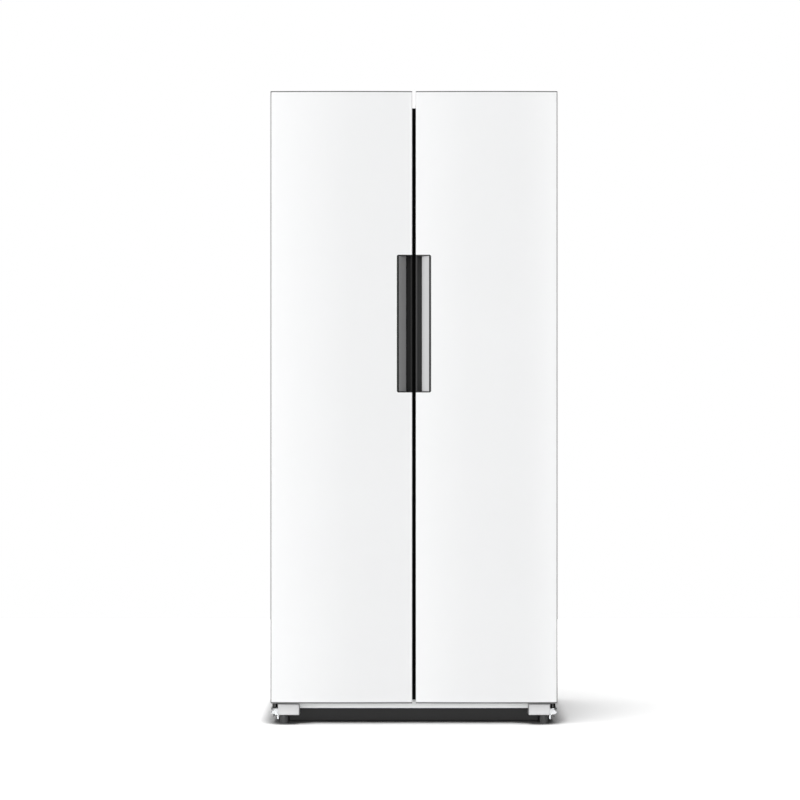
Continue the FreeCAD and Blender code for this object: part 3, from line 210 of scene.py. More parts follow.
def noisy_finish(name, low_colour, high_colour, low_rough, high_rough, bump, broad=3.0, fine=900.0,
                 stretch=(1, 1, 1), shine={}):
    """A finish whose colour and gloss drift slightly and whose surface has a fine grain. Shine holds the
    shader's other values, by the names of its sockets."""
    finish = bpy.data.materials.new(name)
    finish.use_nodes = True
    nodes = finish.node_tree.nodes
    links = finish.node_tree.links
    shader = nodes["Principled BSDF"]
    set_inputs(shader, {"Coat Roughness": 0.12, **shine})
    place = nodes.new("ShaderNodeTexCoord")
    turn = nodes.new("ShaderNodeMapping")
    set_inputs(turn, {"Scale": stretch})
    links.new(place.outputs["Object"], turn.inputs["Vector"])
    noise = nodes.new("ShaderNodeGroup")
    noise.node_tree = surface_noise
    set_inputs(noise, {"Broad scale": broad, "Fine scale": fine})
    links.new(turn.outputs["Vector"], noise.inputs["Place"])
    tint = nodes.new("ShaderNodeMix")
    tint.data_type = "RGBA"
    tint.inputs[6].default_value = (*low_colour, 1)
    tint.inputs[7].default_value = (*high_colour, 1)
    links.new(noise.outputs["Broad"], tint.inputs["Factor"])
    links.new(tint.outputs[2], shader.inputs["Base Color"])
    gloss = nodes.new("ShaderNodeMapRange")
    set_inputs(gloss, {"To Min": low_rough, "To Max": high_rough})
    links.new(noise.outputs["Fine"], gloss.inputs["Value"])
    links.new(gloss.outputs["Result"], shader.inputs["Roughness"])
    relief = nodes.new("ShaderNodeBump")
    set_inputs(relief, {"Strength": bump, "Distance": 0.2 * mm})
    links.new(noise.outputs["Fine"], relief.inputs["Height"])
    links.new(relief.outputs["Normal"], shader.inputs["Normal"])
    return finish


def grey(value):
    return (value, value, value * 1.01)


def smoothed(mesh, sharp_angle):
    mesh.polygons.foreach_set("use_smooth", [True] * len(mesh.polygons))
    mesh.set_sharp_from_angle(angle=math.radians(sharp_angle))


def baked(obj):
    """The object's mesh with its modifiers applied."""
    graph = bpy.context.evaluated_depsgraph_get()
    graph.update()
    result = bpy.data.meshes.new_from_object(obj.evaluated_get(graph))
    obj.modifiers.clear()
    obj.data = result
    return obj


def piece(name, mesh, finish):
    obj = bpy.data.objects.new(name, mesh)
    bpy.context.scene.collection.objects.link(obj)
    mesh.materials.clear()
    mesh.materials.append(finish)
    return obj


def opened(*meshes):
    """The meshes as one editable shape."""
    shape = bmesh.new()
    for mesh in meshes:
        shape.from_mesh(mesh)
    return shape


def closed(shape):
    """The edited shape as a mesh of its own."""
    mesh = bpy.data.meshes.new("shape")
    shape.to_mesh(mesh)
    shape.free()
    return mesh


def block_mesh(low, high):
    """A plain block, used to cut windows and steps."""
    shape = bmesh.new()
    bmesh.ops.create_cube(shape, size=1.0)
    size = [high[i] - low[i] for i in range(3)]
    middle = [(high[i] + low[i]) / 2 for i in range(3)]
    bmesh.ops.transform(shape, matrix=Matrix.LocRotScale(Vector(middle), None, Vector(size)), verts=shape.verts)
    return closed(shape)


def rides(obj, node, *more):
    """The piece stands for the CAD node, or several, and moves with its body. Its flats are shaded flat."""
    even = obj.modifiers.new("even_shading", "WEIGHTED_NORMAL")
    even.keep_sharp = True
    baked(obj)
    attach(obj, body_of(node))
    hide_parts(node, *more)
    return obj


def fitted(name, mesh, finish, sharp_angle, node):
    """A piece made for the node, shaded smooth except along its sharp edges."""
    obj = piece(name, mesh, finish)
    smoothed(obj.data, sharp_angle)
    return rides(obj, node)


def thickened(obj, thickness):
    """The sheet given its wall, behind the faces it has."""
    wall = obj.modifiers.new("wall", "SOLIDIFY")
    wall.thickness = thickness
    wall.offset = -1.0
    return baked(obj)


def sheet_of(rows):
    """One surface through rows of points."""
    count = len(rows[0])
    faces = [(row * count + column, row * count + column + 1, (row + 1) * count + column + 1,
              (row + 1) * count + column) for row in range(len(rows) - 1) for column in range(count - 1)]
    mesh = bpy.data.meshes.new("sheet")
    mesh.from_pydata([point for row in rows for point in row], [], faces)
    return mesh


def quarter(steps):
    """Sine and cosine at even steps through a quarter turn."""
    angles = [math.pi / 2 * step / steps for step in range(steps + 1)]
    return [(math.sin(angle), math.cos(angle)) for angle in angles]


def cut_from(obj, cutter_mesh):
    cutter = bpy.data.objects.new("cutter", cutter_mesh)
    bpy.context.scene.collection.objects.link(cutter)
    window = obj.modifiers.new("window", "BOOLEAN")
    window.operation = "DIFFERENCE"
    window.solver = "EXACT"
    window.object = cutter
    baked(obj)
    bpy.data.objects.remove(cutter)


door_paint = noisy_finish("satin_door_paint", (0.80, 0.805, 0.81), (0.82, 0.825, 0.83), 0.38, 0.44, 0.04,
                          shine={"Coat Weight": 1.0, "Coat IOR": 1.8, "Coat Roughness": 0.06})
hinge_side_painted_shade = noisy_finish("grey_door_hinge_side_painted_shade", grey(0.095), grey(0.11), 0.4, 0.5, 0.2, fine=700)
hinge_side_painted_shade_reach = 2.1 * mm
skin_sheet = 0.8 * mm
skin_corner = 2.2 * mm
skin_bow = 5.5 * mm
skin_bow_power = 2.0
skin_columns = 64
skin_rows = 24
skin_fold = 9.0 * mm
crown_depth = 16.0 * mm
pocket_end = 3.0 * mm
pocket_corner = 5.0 * mm
past_middle = 1.0 * mm
cutter_margin = 10.0 * mm
hair = 0.1 * mm


def bow_at(x, middle, half):
    """How far the bowed front falls back at x: nothing in the middle, all of the bow at the edges."""
    if half - abs(x - middle) < skin_corner + hair:
        return skin_bow
    return skin_bow * abs((x - middle) / half) ** skin_bow_power


def skin_line(x0, x1, left_back, right_back):
    """The sheet's outline seen from above, from one folded edge round the front to the other."""
    middle = (x0 + x1) / 2
    half = (x1 - x0) / 2
    corner = skin_corner
    corner_turns = [(corner * (1 - cosine), door_front_y + skin_bow + corner * (1 - sine))
                    for sine, cosine in quarter(6)]
    line = [(x0, left_back)] + [(x0 + inset, y) for inset, y in corner_turns]
    for step in range(1, skin_columns):
        x = x0 + corner + (x1 - x0 - 2 * corner) * step / skin_columns
        line.append((x, door_front_y + bow_at(x, middle, half)))
    return line + [(x1 - inset, y) for inset, y in reversed(corner_turns)] + [(x1, right_back)]


def pocket_block(side):
    """Block of the grip pocket's window, rounded at its two outer corners."""
    low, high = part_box(side + "_door_grip")
    edge_low, edge_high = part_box(side + "_door_edge")
    outer = edge_high[0] if side == "fridge" else edge_low[0]
    inner = -past_middle if side == "fridge" else past_middle
    x0, x1 = min(outer, inner), max(outer, inner)
    shape = opened(block_mesh((x0, door_front_y - 2 * cutter_margin, low[2] - pocket_end),
                              (x1, door_front_y + 2 * cutter_margin, high[2] + pocket_end)))
    corners = [edge for edge in shape.edges
               if all(abs(vert.co.x - outer) < hair for vert in edge.verts) and
               abs(edge.verts[0].co.y - edge.verts[1].co.y) > cutter_margin]
    bmesh.ops.bevel(shape, geom=corners, offset=pocket_corner, segments=6, affect="EDGES", profile=0.5)
    return closed(shape)


for side in compartments:
    low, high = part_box(side + "_door_skin")
    fold = door_front_y + skin_fold
    backs = (fold, high[1]) if side == "fridge" else (high[1], fold)
    line = skin_line(low[0], high[0], *backs)
    levels = [low[2] + (high[2] - low[2]) * step / skin_rows for step in range(skin_rows + 1)]
    front_mesh = sheet_of([[(x, y, z) for x, y in line] for z in levels])
    door_sheet = piece(side + "_door_front_sheet", front_mesh, door_paint)
    thickened(door_sheet, skin_sheet)
    cut_from(door_sheet, pocket_block(side))
    step_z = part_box(side + "_door_edge")[1][2]
    cut_from(door_sheet, block_mesh((low[0] - cutter_margin, door_front_y + crown_depth, step_z),
                                    [edge + cutter_margin for edge in high]))
    smoothed(door_sheet.data, 30)
    door_sheet.data.materials.append(hinge_side_painted_shade)
    hinge_side = high[0] if side == "fridge" else low[0]
    # Faces along the hinge side take the dark grey paint, partly two-tone paint and partly painted shade for the
    # dark line along the rolled edge.
    for polygon in door_sheet.data.polygons:
        if abs(polygon.center.x - hinge_side) < hinge_side_painted_shade_reach:
            polygon.material_index = 1
    rides(door_sheet, side + "_door_skin")


# ---------------------------------------------------------------- door caps
# A moulded plastic cap closes each door's top and bottom. Its lip shows as a grey line along the sheet's edge,
# the upper one rises into a crown at the front and takes the hinge pin behind it. The upper cap is painted
# nearly black, a painted shade for the dark line along the door's top edge.
merge_distance = 0.01 * mm


def merged_copy(node):
    """The CAD node's mesh with its loose triangles joined into whole faces."""
    shape = opened(frame["nodes"][node].data)
    bmesh.ops.remove_doubles(shape, verts=shape.verts, dist=merge_distance)
    bmesh.ops.dissolve_limit(shape, angle_limit=math.radians(1.0), verts=shape.verts, edges=shape.edges,
                             use_dissolve_boundaries=False)
    return closed(shape)


def eased(name, node, finish, radius, segments=2, mesh=None):
    """The CAD node with its sharp edges eased to a small radius, as moulded or folded pieces have."""
    obj = piece(name, mesh or merged_copy(node), finish)
    ease = obj.modifiers.new("ease", "BEVEL")
    ease.width = radius
    ease.segments = segments
    ease.limit_method = "ANGLE"
    ease.angle_limit = math.radians(35)
    baked(obj)
    smoothed(obj.data, 40)
    return rides(obj, node)


def bowed_copy(node, skin_node, reach=3.1 * mm):
    """The CAD node with its front, as deep as the reach, bowed to lie against the door's bowed sheet."""
    low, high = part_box(skin_node)
    middle = (low[0] + high[0]) / 2
    half = (high[0] - low[0]) / 2
    shape = opened(merged_copy(node))
    for step in range(1, skin_columns):
        x = middle + (half - skin_corner) * (2 * step / skin_columns - 1)
        bmesh.ops.bisect_plane(shape, geom=shape.verts[:] + shape.edges[:] + shape.faces[:], plane_co=(x, 0, 0),
                               plane_no=(1, 0, 0))
    for vert in shape.verts:
        if vert.co.y < door_front_y + reach:
            vert.co.y += bow_at(vert.co.x, middle, half)
    return closed(shape)


cap_plastic = noisy_finish("grey_cap_plastic", grey(0.14), grey(0.16), 0.42, 0.5, 0.12, fine=1600)
upper_cap_painted_shade_plastic = noisy_finish("upper_cap_painted_shade_plastic", grey(0.03), grey(0.04), 0.45, 0.55, 0.12, fine=1600)
for side in compartments:
    bowed_cap = bowed_copy(side + "_door_caps", side + "_door_skin")
    caps = eased(side + "_door_end_caps", side + "_door_caps", cap_plastic, 0.4 * mm, mesh=bowed_cap)
    caps.data.materials.append(upper_cap_painted_shade_plastic)
    # Faces of the upper cap take the near-black plastic: painted shade along the door's top edge.
    for polygon in caps.data.polygons:
        if polygon.center.z > cad_box[1][2] / 2:
            polygon.material_index = 1


# ---------------------------------------------------------------- insulation
# Rigid polyurethane foam is poured between the skins and liners and fills every hollow. It is pale yellow
# with a fine cellular surface, and hardly seen.
foam = noisy_finish("pale_insulation_foam", (0.62, 0.52, 0.30), (0.70, 0.60, 0.38), 0.85, 0.95, 0.6, broad=14,
                    fine=420)
for side in compartments:
    liner_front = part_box(side + "_door_liner")[0][1]
    shape = opened(bowed_copy(side + "_door_foam", side + "_door_skin"))
    bmesh.ops.bisect_plane(shape, geom=shape.verts[:] + shape.edges[:] + shape.faces[:], clear_outer=True,
                           plane_co=(0, liner_front, 0), plane_no=(0, 1, 0))
    bmesh.ops.holes_fill(shape, edges=[edge for edge in shape.edges if edge.is_boundary])
    fitted(side + "_door_foam_fill", closed(shape), foam, 30, side + "_door_foam")

rear_clearance = 6.0 * mm
core_mesh = merged_copy("foam_core")
core_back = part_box("foam_core")[1][1]
for vert in core_mesh.vertices:
    if vert.co.y > core_back - hair:
        vert.co.y -= rear_clearance
fitted("cabinet_foam_fill", core_mesh, foam, 30, "foam_core")


# ---------------------------------------------------------------- free edge and grip pocket
# A dark moulded profile closes the free edge of each door, with the grip pocket moulded in one with it. Both
# are one plastic: the fridge door's is painted lighter, as painted light falling into its pocket from the left,
# and the freezer door's darker, as painted shade.
# A satin anodised strip leans back into the pocket, and fingers hook behind its inner edge.
dull = {"Specular IOR Level": 0.12}
# One plastic in two tones: the freezer's darker as painted shade, the fridge's lighter as painted light from the
# left.
edge_plastics_painted_light_and_shade = {"freezer": noisy_finish("edge_plastic_painted_shade", grey(0.017), grey(0.022), 0.45, 0.58, 0.15,
                                         fine=1800, shine=dull),
                 "fridge": noisy_finish("edge_plastic_painted_light", grey(0.055), grey(0.065), 0.45, 0.58, 0.15,
                                        fine=1800, shine=dull)}
grip_metal = noisy_finish("satin_grip_aluminium", grey(0.62), grey(0.68), 0.3, 0.42, 0.08, fine=700,
                          stretch=(1, 1, 0.02), shine={"Metallic": 0.85})
profile_front = 14.0 * mm
for side in compartments:
    profile_mesh = bowed_copy(side + "_door_edge", side + "_door_skin", profile_front - 2 * hair)
    for vert in profile_mesh.vertices:
        if abs(vert.co.y - door_front_y - profile_front) < hair:
            vert.co.y = door_front_y + skin_fold
    eased(side + "_door_edge_profile", side + "_door_edge", edge_plastics_painted_light_and_shade[side], 0.4 * mm, mesh=profile_mesh)
    skin_low, skin_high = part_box(side + "_door_skin")
    grip_low, grip_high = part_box(side + "_door_grip")
    outer = grip_high[0] if side == "fridge" else grip_low[0]
    grip_mesh = merged_copy(side + "_door_grip")
    grip_mesh.transform(Matrix.Translation((0, bow_at(outer, (skin_low[0] + skin_high[0]) / 2,
                                                      (skin_high[0] - skin_low[0]) / 2), 0)))
    eased(side + "_door_grip_strip", side + "_door_grip", grip_metal, 0.6 * mm, 3, mesh=grip_mesh)


# ---------------------------------------------------------------- door liners
# The inside of each door is one sheet of white plastic, drawn down over a mould. A raised dyke runs all round
# it, enters the compartment when the door shuts and holds the bins between its inner walls.
def rounded_loop(x0, x1, z0, z1, y, radius, corner_steps=5):
    """Rounded rectangle at depth y, as points running round it."""
    points = []
    centres = [(x1 - radius, z0 + radius, -90), (x1 - radius, z1 - radius, 0), (x0 + radius, z1 - radius, 90),
               (x0 + radius, z0 + radius, 180)]
    for cx, cz, start in centres:
        for step in range(corner_steps + 1):
            angle = math.radians(start + 90.0 * step / corner_steps)
            points.append((cx + radius * math.cos(angle), y, cz + radius * math.sin(angle)))
    return points


def turned_up(points):
    """The same loop laid flat, so that it rises along Z in place of Y."""
    return [(x, z, y) for x, y, z in points]


def lofted(loops, first_end=False, last_end=False, ring=False):
    """One skin through a row of loops that have the same number of points."""
    count = len(loops[0])
    verts = [point for loop in loops for point in loop]
    faces = []
    for row in range(len(loops) if ring else len(loops) - 1):
        a = row * count
        b = ((row + 1) % len(loops)) * count
        for column in range(count):
            other = (column + 1) % count
            faces.append((a + column, a + other, b + other, b + column))
    if first_end:
        faces.append(tuple(range(count)))
    if last_end:
        faces.append(tuple((len(loops) - 1) * count + column for column in range(count)))
    mesh = bpy.data.meshes.new("loft")
    mesh.from_pydata(verts, [], faces)
    shape = opened(mesh)
    bmesh.ops.remove_doubles(shape, verts=shape.verts, dist=merge_distance / 10)
    bmesh.ops.recalc_face_normals(shape, faces=shape.faces)
    return closed(shape)


liner_plastic = noisy_finish("white_liner_plastic", (0.80, 0.81, 0.81), (0.84, 0.85, 0.85), 0.22, 0.32, 0.06,
                             fine=500, shine={"Coat Weight": 0.15})
dyke_width = 20.0 * mm
dyke_turn = 6.0 * mm
dyke_foot_share = 0.4
dyke_corner = 22.0 * mm
dyke_least_corner = 3.0 * mm
dyke_from_gasket = 32.0 * mm
bin_side_gap = 0.5 * mm
panel_corner = 0.5 * mm
for side in compartments:
    low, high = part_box(side + "_door_liner")
    bins_low, bins_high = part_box(side + "_door_bins")
    door_back = bins_low[1]
    dyke_back = high[1]
    x0 = bins_low[0] - bin_side_gap - dyke_width
    x1 = bins_high[0] + bin_side_gap + dyke_width
    gasket_low, gasket_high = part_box(side + "_door_gasket")
    z0 = gasket_low[2] + dyke_from_gasket
    z1 = gasket_high[2] - dyke_from_gasket
    loops = [rounded_loop(low[0], high[0], low[2], high[2], y, panel_corner) for y in (low[1], door_back)]
    foot_turn = dyke_turn * dyke_foot_share
    profile = [(-dyke_turn, door_back)]
    profile += [(-foot_turn * (1 - sine), door_back + foot_turn * (1 - cosine)) for sine, cosine in quarter(4)]
    profile += [(dyke_turn * (1 - cosine), dyke_back - dyke_turn * (1 - sine)) for sine, cosine in quarter(4)]
    profile += [(dyke_width - dyke_turn * (1 - sine), dyke_back - dyke_turn * (1 - cosine))
                for sine, cosine in quarter(4)]
    profile.append((dyke_width, door_back))
    loops += [rounded_loop(x0 + inset, x1 - inset, z0 + inset, z1 - inset, y,
                           max(dyke_corner - inset, dyke_least_corner)) for inset, y in profile]
    fitted(side + "_door_inner_panel", lofted(loops, last_end=True), liner_plastic, 50, side + "_door_liner")


# ---------------------------------------------------------------- door gaskets
# A soft extruded gasket with a magnet in its face runs round the inside of each door, its corners welded
# on the mitre. A folded bellows lets it stretch onto the steel of the cabinet's front.
gasket_rubber = noisy_finish("grey_gasket_rubber", grey(0.30), grey(0.34), 0.5, 0.6, 0.1, fine=900)
gasket_corner = 0.3 * mm
gasket_bellows = [(0.0, 0.0), (2.0, 0.0), (2.5, 2.0), (1.2, 3.6), (1.4, 5.0), (0.2, 6.4), (0.0, 9.0), (0.5, 9.5),
                  (12.0, 9.5), (12.8, 9.0), (13.0, 6.6), (10.6, 5.4), (12.6, 3.8), (14.0, 2.4), (14.0, 0.0)]
for side in compartments:
    low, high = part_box(side + "_door_gasket")
    loops = [rounded_loop(low[0] + inset * mm, high[0] - inset * mm, low[2] + inset * mm, high[2] - inset * mm,
                          low[1] + rise * mm, gasket_corner, 1) for inset, rise in gasket_bellows]
    fitted(side + "_door_magnetic_gasket", lofted(loops, ring=True), gasket_rubber, 35, side + "_door_gasket")


# ---------------------------------------------------------------- door bins and drawers
# Bins, crisper and drawers are injection-moulded in clear plastic with rounded corners and a thick rim.
# The bins hook between the walls of the door's dyke, the drawers run on ledges in the liner.
def islands(node):
    """Lowest and highest corner of each separate solid of a CAD node, from the lowest up."""
    shape = opened(frame["nodes"][node].data)
    bmesh.ops.remove_doubles(shape, verts=shape.verts, dist=merge_distance)
    left = set(shape.verts)
    found = []
    while left:
        reach = [left.pop()]
        group = []
        while reach:
            vert = reach.pop()
            group.append(vert.co.copy())
            for edge in vert.link_edges:
                other = edge.other_vert(vert)
                if other in left:
                    left.remove(other)
                    reach.append(other)
        found.append((Vector([min(co[i] for co in group) for i in range(3)]),
                      Vector([max(co[i] for co in group) for i in range(3)])))
    shape.free()
    return sorted(found, key=lambda pair: (round(pair[0].z, 4), pair[0].x, pair[0].y))


def clear_finish(name, colour, rough, see_through, bump=0.05):
    """Clear plastic or glass: the same finish, with light let through it."""
    return noisy_finish(name, colour, [min(1.0, part * 1.04) for part in colour], rough, rough + 0.06, bump,
                        fine=260, shine={"Transmission Weight": see_through, "IOR": 1.3})


def tray_mesh(low, high, wall, corner):
    """Open-topped tray: up the outside, over a rounded rim and down the inside."""
    base = 3 * mm
    rim = wall / 2
    soft = rim * 0.3
    stations = [(base, low[2], corner), (base * 0.2, low[2] + base * 0.3, corner), (0, low[2] + base, corner),
                (0, high[2] - rim, corner), (soft, high[2] - soft, corner), (rim, high[2], corner - rim),
                (wall - soft, high[2] - soft, corner - wall), (wall, high[2] - rim, corner - wall),
                (wall, low[2] + wall + base, corner - wall), (wall + base, low[2] + wall, corner - wall)]
    loops = [turned_up(rounded_loop(low[0] + inset, high[0] - inset, low[1] + inset, high[1] - inset, z, radius))
             for inset, z, radius in stations]
    return lofted(loops, first_end=True, last_end=True)


clear_plastic = clear_finish("clear_bin_plastic", (0.93, 0.95, 0.955), 0.06, 0.88)
bin_wall = 3.0 * mm
bin_corner = 12.0 * mm
bin_rim_drop = 26.0 * mm
for side in compartments:
    trays = [tray_mesh(low, high - Vector((0, 0, bin_rim_drop)), bin_wall, bin_corner)
             for low, high in islands(side + "_door_bins")]
    fitted(side + "_door_clear_bins", closed(opened(*trays)), clear_plastic, 45, side + "_door_bins")

for node in ("freezer_drawer_lower", "freezer_drawer_upper", "crisper_drawer", "chill_drawer"):
    eased(node + "_moulding", node, clear_plastic, 1.2 * mm)


# ---------------------------------------------------------------- cabinet liners
# Each compartment is one vacuum-formed tub of white plastic, round-cornered, with a step at the bottom of
# its back that clears the machine compartment. Ledges moulded on both walls carry the shelves and drawers.
def soft_block(low, high, radius, segments=2):
    """A block with all its edges rounded over."""
    shape = opened(block_mesh(low, high))
    bmesh.ops.bevel(shape, geom=shape.edges[:], offset=radius, segments=segments, affect="EDGES", profile=0.5)
    bmesh.ops.recalc_face_normals(shape, faces=shape.faces[:])
    return closed(shape)


tub_corner = 22.0 * mm
tub_back_corner = 18.0 * mm
tub_mouth_round = 2.5 * mm
tub_wall = 2.0 * mm
tub_least_corner = 4.0 * mm
step_slope_gap = 10.0 * mm
step_slope_run = 40.0 * mm
step_under_drawer = 7.0 * mm
step_bend = ((-12.0 * mm, 0.0), (-4.0 * mm, 1.5 * mm), (2.0 * mm, 10.0 * mm))
ledge_height = 8.0 * mm
ledge_width = 8.0 * mm
ledge_root = 0.5 * mm
ledge_round = 1.2 * mm
drawer_rim = 3.4 * mm
for side, drawers in (("freezer", ("freezer_drawer_lower", "freezer_drawer_upper")),
                      ("fridge", ("crisper_drawer", "chill_drawer"))):
    low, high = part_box(side + "_liner")
    x0 = low[0] + tub_wall
    x1 = high[0] - tub_wall
    top = high[2] - tub_wall
    floor = low[2] + tub_wall
    back = high[1] - tub_wall
    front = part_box("front_frame")[0][1]
    lower_shelf, *upper_shelves = islands(side + "_shelves")
    slope_start = lower_shelf[1].y - step_slope_gap
    slope_end = slope_start + step_slope_run
    step_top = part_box(drawers[1])[0][2] - step_under_drawer
    stations = [(front + tub_mouth_round * (1 - cosine), -tub_mouth_round * (1 - sine), floor)
                for sine, cosine in quarter(3)]
    stations += [(slope_start + run, 0, floor + rise) for run, rise in step_bend]
    stations += [(slope_end - run, 0, step_top - rise) for run, rise in reversed(step_bend)]
    stations += [(back - tub_back_corner * (1 - sine), tub_back_corner * (1 - cosine), step_top)
                 for sine, cosine in quarter(3)]
    loops = [rounded_loop(x0 + inset, x1 - inset, bottom + inset, top - inset, y,
                          max(tub_corner - inset, tub_least_corner)) for y, inset, bottom in stations]
    tub_mesh = lofted(loops, last_end=True)
    for polygon in tub_mesh.polygons:
        polygon.flip()
    tub = piece(side + "_tub", tub_mesh, liner_plastic)
    thickened(tub, tub_wall * 0.9)
    shells = [tub.data]
    shelf_front = lower_shelf[0].y
    runs = [(shelf[0].z, shelf[1].y) for shelf in upper_shelves]
    runs.append((lower_shelf[0].z, slope_start))
    for drawer in drawers:
        drawer_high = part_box(drawer)[1]
        runs.append((drawer_high[2] - drawer_rim, drawer_high[1]))
    for ledge_z, ledge_end in runs:
        for wall_x, reach in ((x0, ledge_width), (x1, -ledge_width)):
            near, far = sorted((wall_x - math.copysign(ledge_root, reach), wall_x + reach))
            shells.append(soft_block((near, shelf_front, ledge_z - ledge_height), (far, ledge_end, ledge_z),
                                     ledge_round))
    tub.data = closed(opened(*shells))
    tub.data.materials.append(liner_plastic)
    smoothed(tub.data, 40)
    rides(tub, side + "_liner")


# ---------------------------------------------------------------- shelves
# Tempered glass shelves sit on the liner's ledges. A white plastic rail is snapped over the front and the
# back edge of each plate.
shelf_glass = clear_finish("tempered_shelf_glass", (0.93, 0.985, 0.965), 0.01, 0.96, bump=0.01)
trim_plastic = noisy_finish("white_trim_plastic", (0.76, 0.77, 0.77), (0.80, 0.81, 0.81), 0.3, 0.4, 0.06, fine=700)
for side in compartments:
    eased(side + "_glass_shelves", side + "_shelves", shelf_glass, 0.8 * mm)
    eased(side + "_shelf_rails", side + "_shelf_trims", trim_plastic, 1.0 * mm, 3)


# ---------------------------------------------------------------- lights and air ducts
# A milky cover in each roof hides the lamp. The freezer's fan and evaporator sit behind a moulded cover with
# slots, and a slim moulded column spreads cold air over the fresh food shelves.
milky_plastic = noisy_finish("milky_lamp_cover", (0.82, 0.83, 0.82), (0.86, 0.87, 0.86), 0.35, 0.45, 0.5, fine=300,
                             stretch=(1, 0.05, 1),
                             shine={"Emission Color": (1.0, 0.97, 0.9, 1), "Emission Strength": 0.25})
eased("lamp_covers", "light_covers", milky_plastic, 1.0 * mm, 3)
eased("freezer_fan_cover", "freezer_duct_cover", liner_plastic, 0.8 * mm)
eased("fridge_air_column", "fridge_air_duct", liner_plastic, 0.8 * mm)


# ---------------------------------------------------------------- cabinet sheets
# The sides and top are pre-painted steel sheet, folded inwards at the back. The front frame is folded steel
# behind the gaskets, and a black strip covers the heated rail between the two compartments. The strip is
# nearly black, partly its own colour and partly painted shade for the deep gap between the doors.
cabinet_paint = noisy_finish("grey_cabinet_paint", grey(0.40), grey(0.43), 0.38, 0.5, 0.25, fine=520,
                             shine={"Coat Weight": 0.1})
frame_paint = noisy_finish("white_frame_paint", (0.84, 0.85, 0.85), (0.87, 0.88, 0.88), 0.3, 0.4, 0.1, fine=600)
sheet_fold = 0.3 * mm
eased("left_side_sheet", "side_panel_left", cabinet_paint, sheet_fold)
eased("right_side_sheet", "side_panel_right", cabinet_paint, sheet_fold)
eased("top_sheet", "top_panel", cabinet_paint, sheet_fold)
eased("front_frame_sheet", "front_frame", frame_paint, sheet_fold)
# Near-black strip: partly its own colour, partly painted shade deep in the gap between the doors.
mullion_plastic_and_painted_shade = noisy_finish("black_mullion_plastic_and_painted_shade", grey(0.004), grey(0.006), 0.5, 0.62, 0.12, fine=1500,
                               shine=dull)
eased("mullion_strip", "mullion_cover", mullion_plastic_and_painted_shade, 0.5 * mm)


# ---------------------------------------------------------------- rear panel
# The back is a galvanised sheet screwed over the foam. Long upright swages pressed into it keep it flat.
def galvanised_finish(name, low_colour, high_colour):
    """Zinc coating: crystals a few millimetres wide that catch the light at different angles."""
    finish = noisy_finish(name, low_colour, high_colour, 0.4, 0.5, 0.1, shine={"Metallic": 0.75})
    nodes = finish.node_tree.nodes
    links = finish.node_tree.links
    crystals = nodes.new("ShaderNodeTexVoronoi")
    set_inputs(crystals, {"Scale": 110.0})
    links.new(nodes["Mapping"].outputs["Vector"], crystals.inputs["Vector"])
    links.new(crystals.outputs["Color"], nodes["Mix"].inputs["Factor"])
    return finish


galvanised = galvanised_finish("galvanised_sheet_steel", grey(0.42), grey(0.62))
swage_places = (-0.27, -0.09, 0.09, 0.27)
swage_half = 26.0 * mm
swage_slope = 7.0 * mm
swage_depth = 4.0 * mm
swage_end = 70.0 * mm
low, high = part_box("rear_panel")
swage_wall = ((1.0, 0.0), (0.6, 0.15), (0.4, 0.85), (0.0, 1.0))
across = [(high[0], 0.0)]
for middle in reversed(swage_places):
    across += [(middle + swage_half + swage_slope * out, share) for out, share in swage_wall]
    across += [(middle - swage_half - swage_slope * out, share) for out, share in reversed(swage_wall)]
across.append((low[0], 0.0))
upward = [(low[2], 0.0), (low[2] + swage_end, 0.0), (low[2] + swage_end + swage_slope * 0.5, 0.5),
          (low[2] + swage_end + swage_slope, 1.0), (high[2] - swage_end - swage_slope, 1.0),
          (high[2] - swage_end - swage_slope * 0.5, 0.5), (high[2] - swage_end, 0.0), (high[2], 0.0)]
back_mesh = sheet_of([[(x, high[1] - swage_depth * deep * ends, z) for x, deep in across] for z, ends in upward])
back_sheet = piece("swaged_back_sheet", back_mesh, galvanised)
thickened(back_sheet, high[1] - low[1])
smoothed(back_sheet.data, 35)
rides(back_sheet, "rear_panel")


# ---------------------------------------------------------------- screws
# Zinc-plated pan-head screws with a cross recess hold the machine cover and the upper hinges. They are
# driven home, so their recesses stand at any angle.
def turned(profile, centre=(0, 0, 0), axis="Z", steps=40):
    """A profile of (radius, height) points turned once round an axis through the centre."""
    loops = []
    for radius, height in profile:
        loop = []
        for step in range(steps):
            angle = 2 * math.pi * step / steps
            point = Vector((radius * math.cos(angle), radius * math.sin(angle), height))
            if axis == "Y":
                point = Vector((point.x, point.z, -point.y))
            if axis == "X":
                point = Vector((point.z, point.x, point.y))
            loop.append(tuple(point + Vector(centre)))
        loops.append(loop)
    return lofted(loops, first_end=profile[0][0] > 0, last_end=profile[-1][0] > 0)


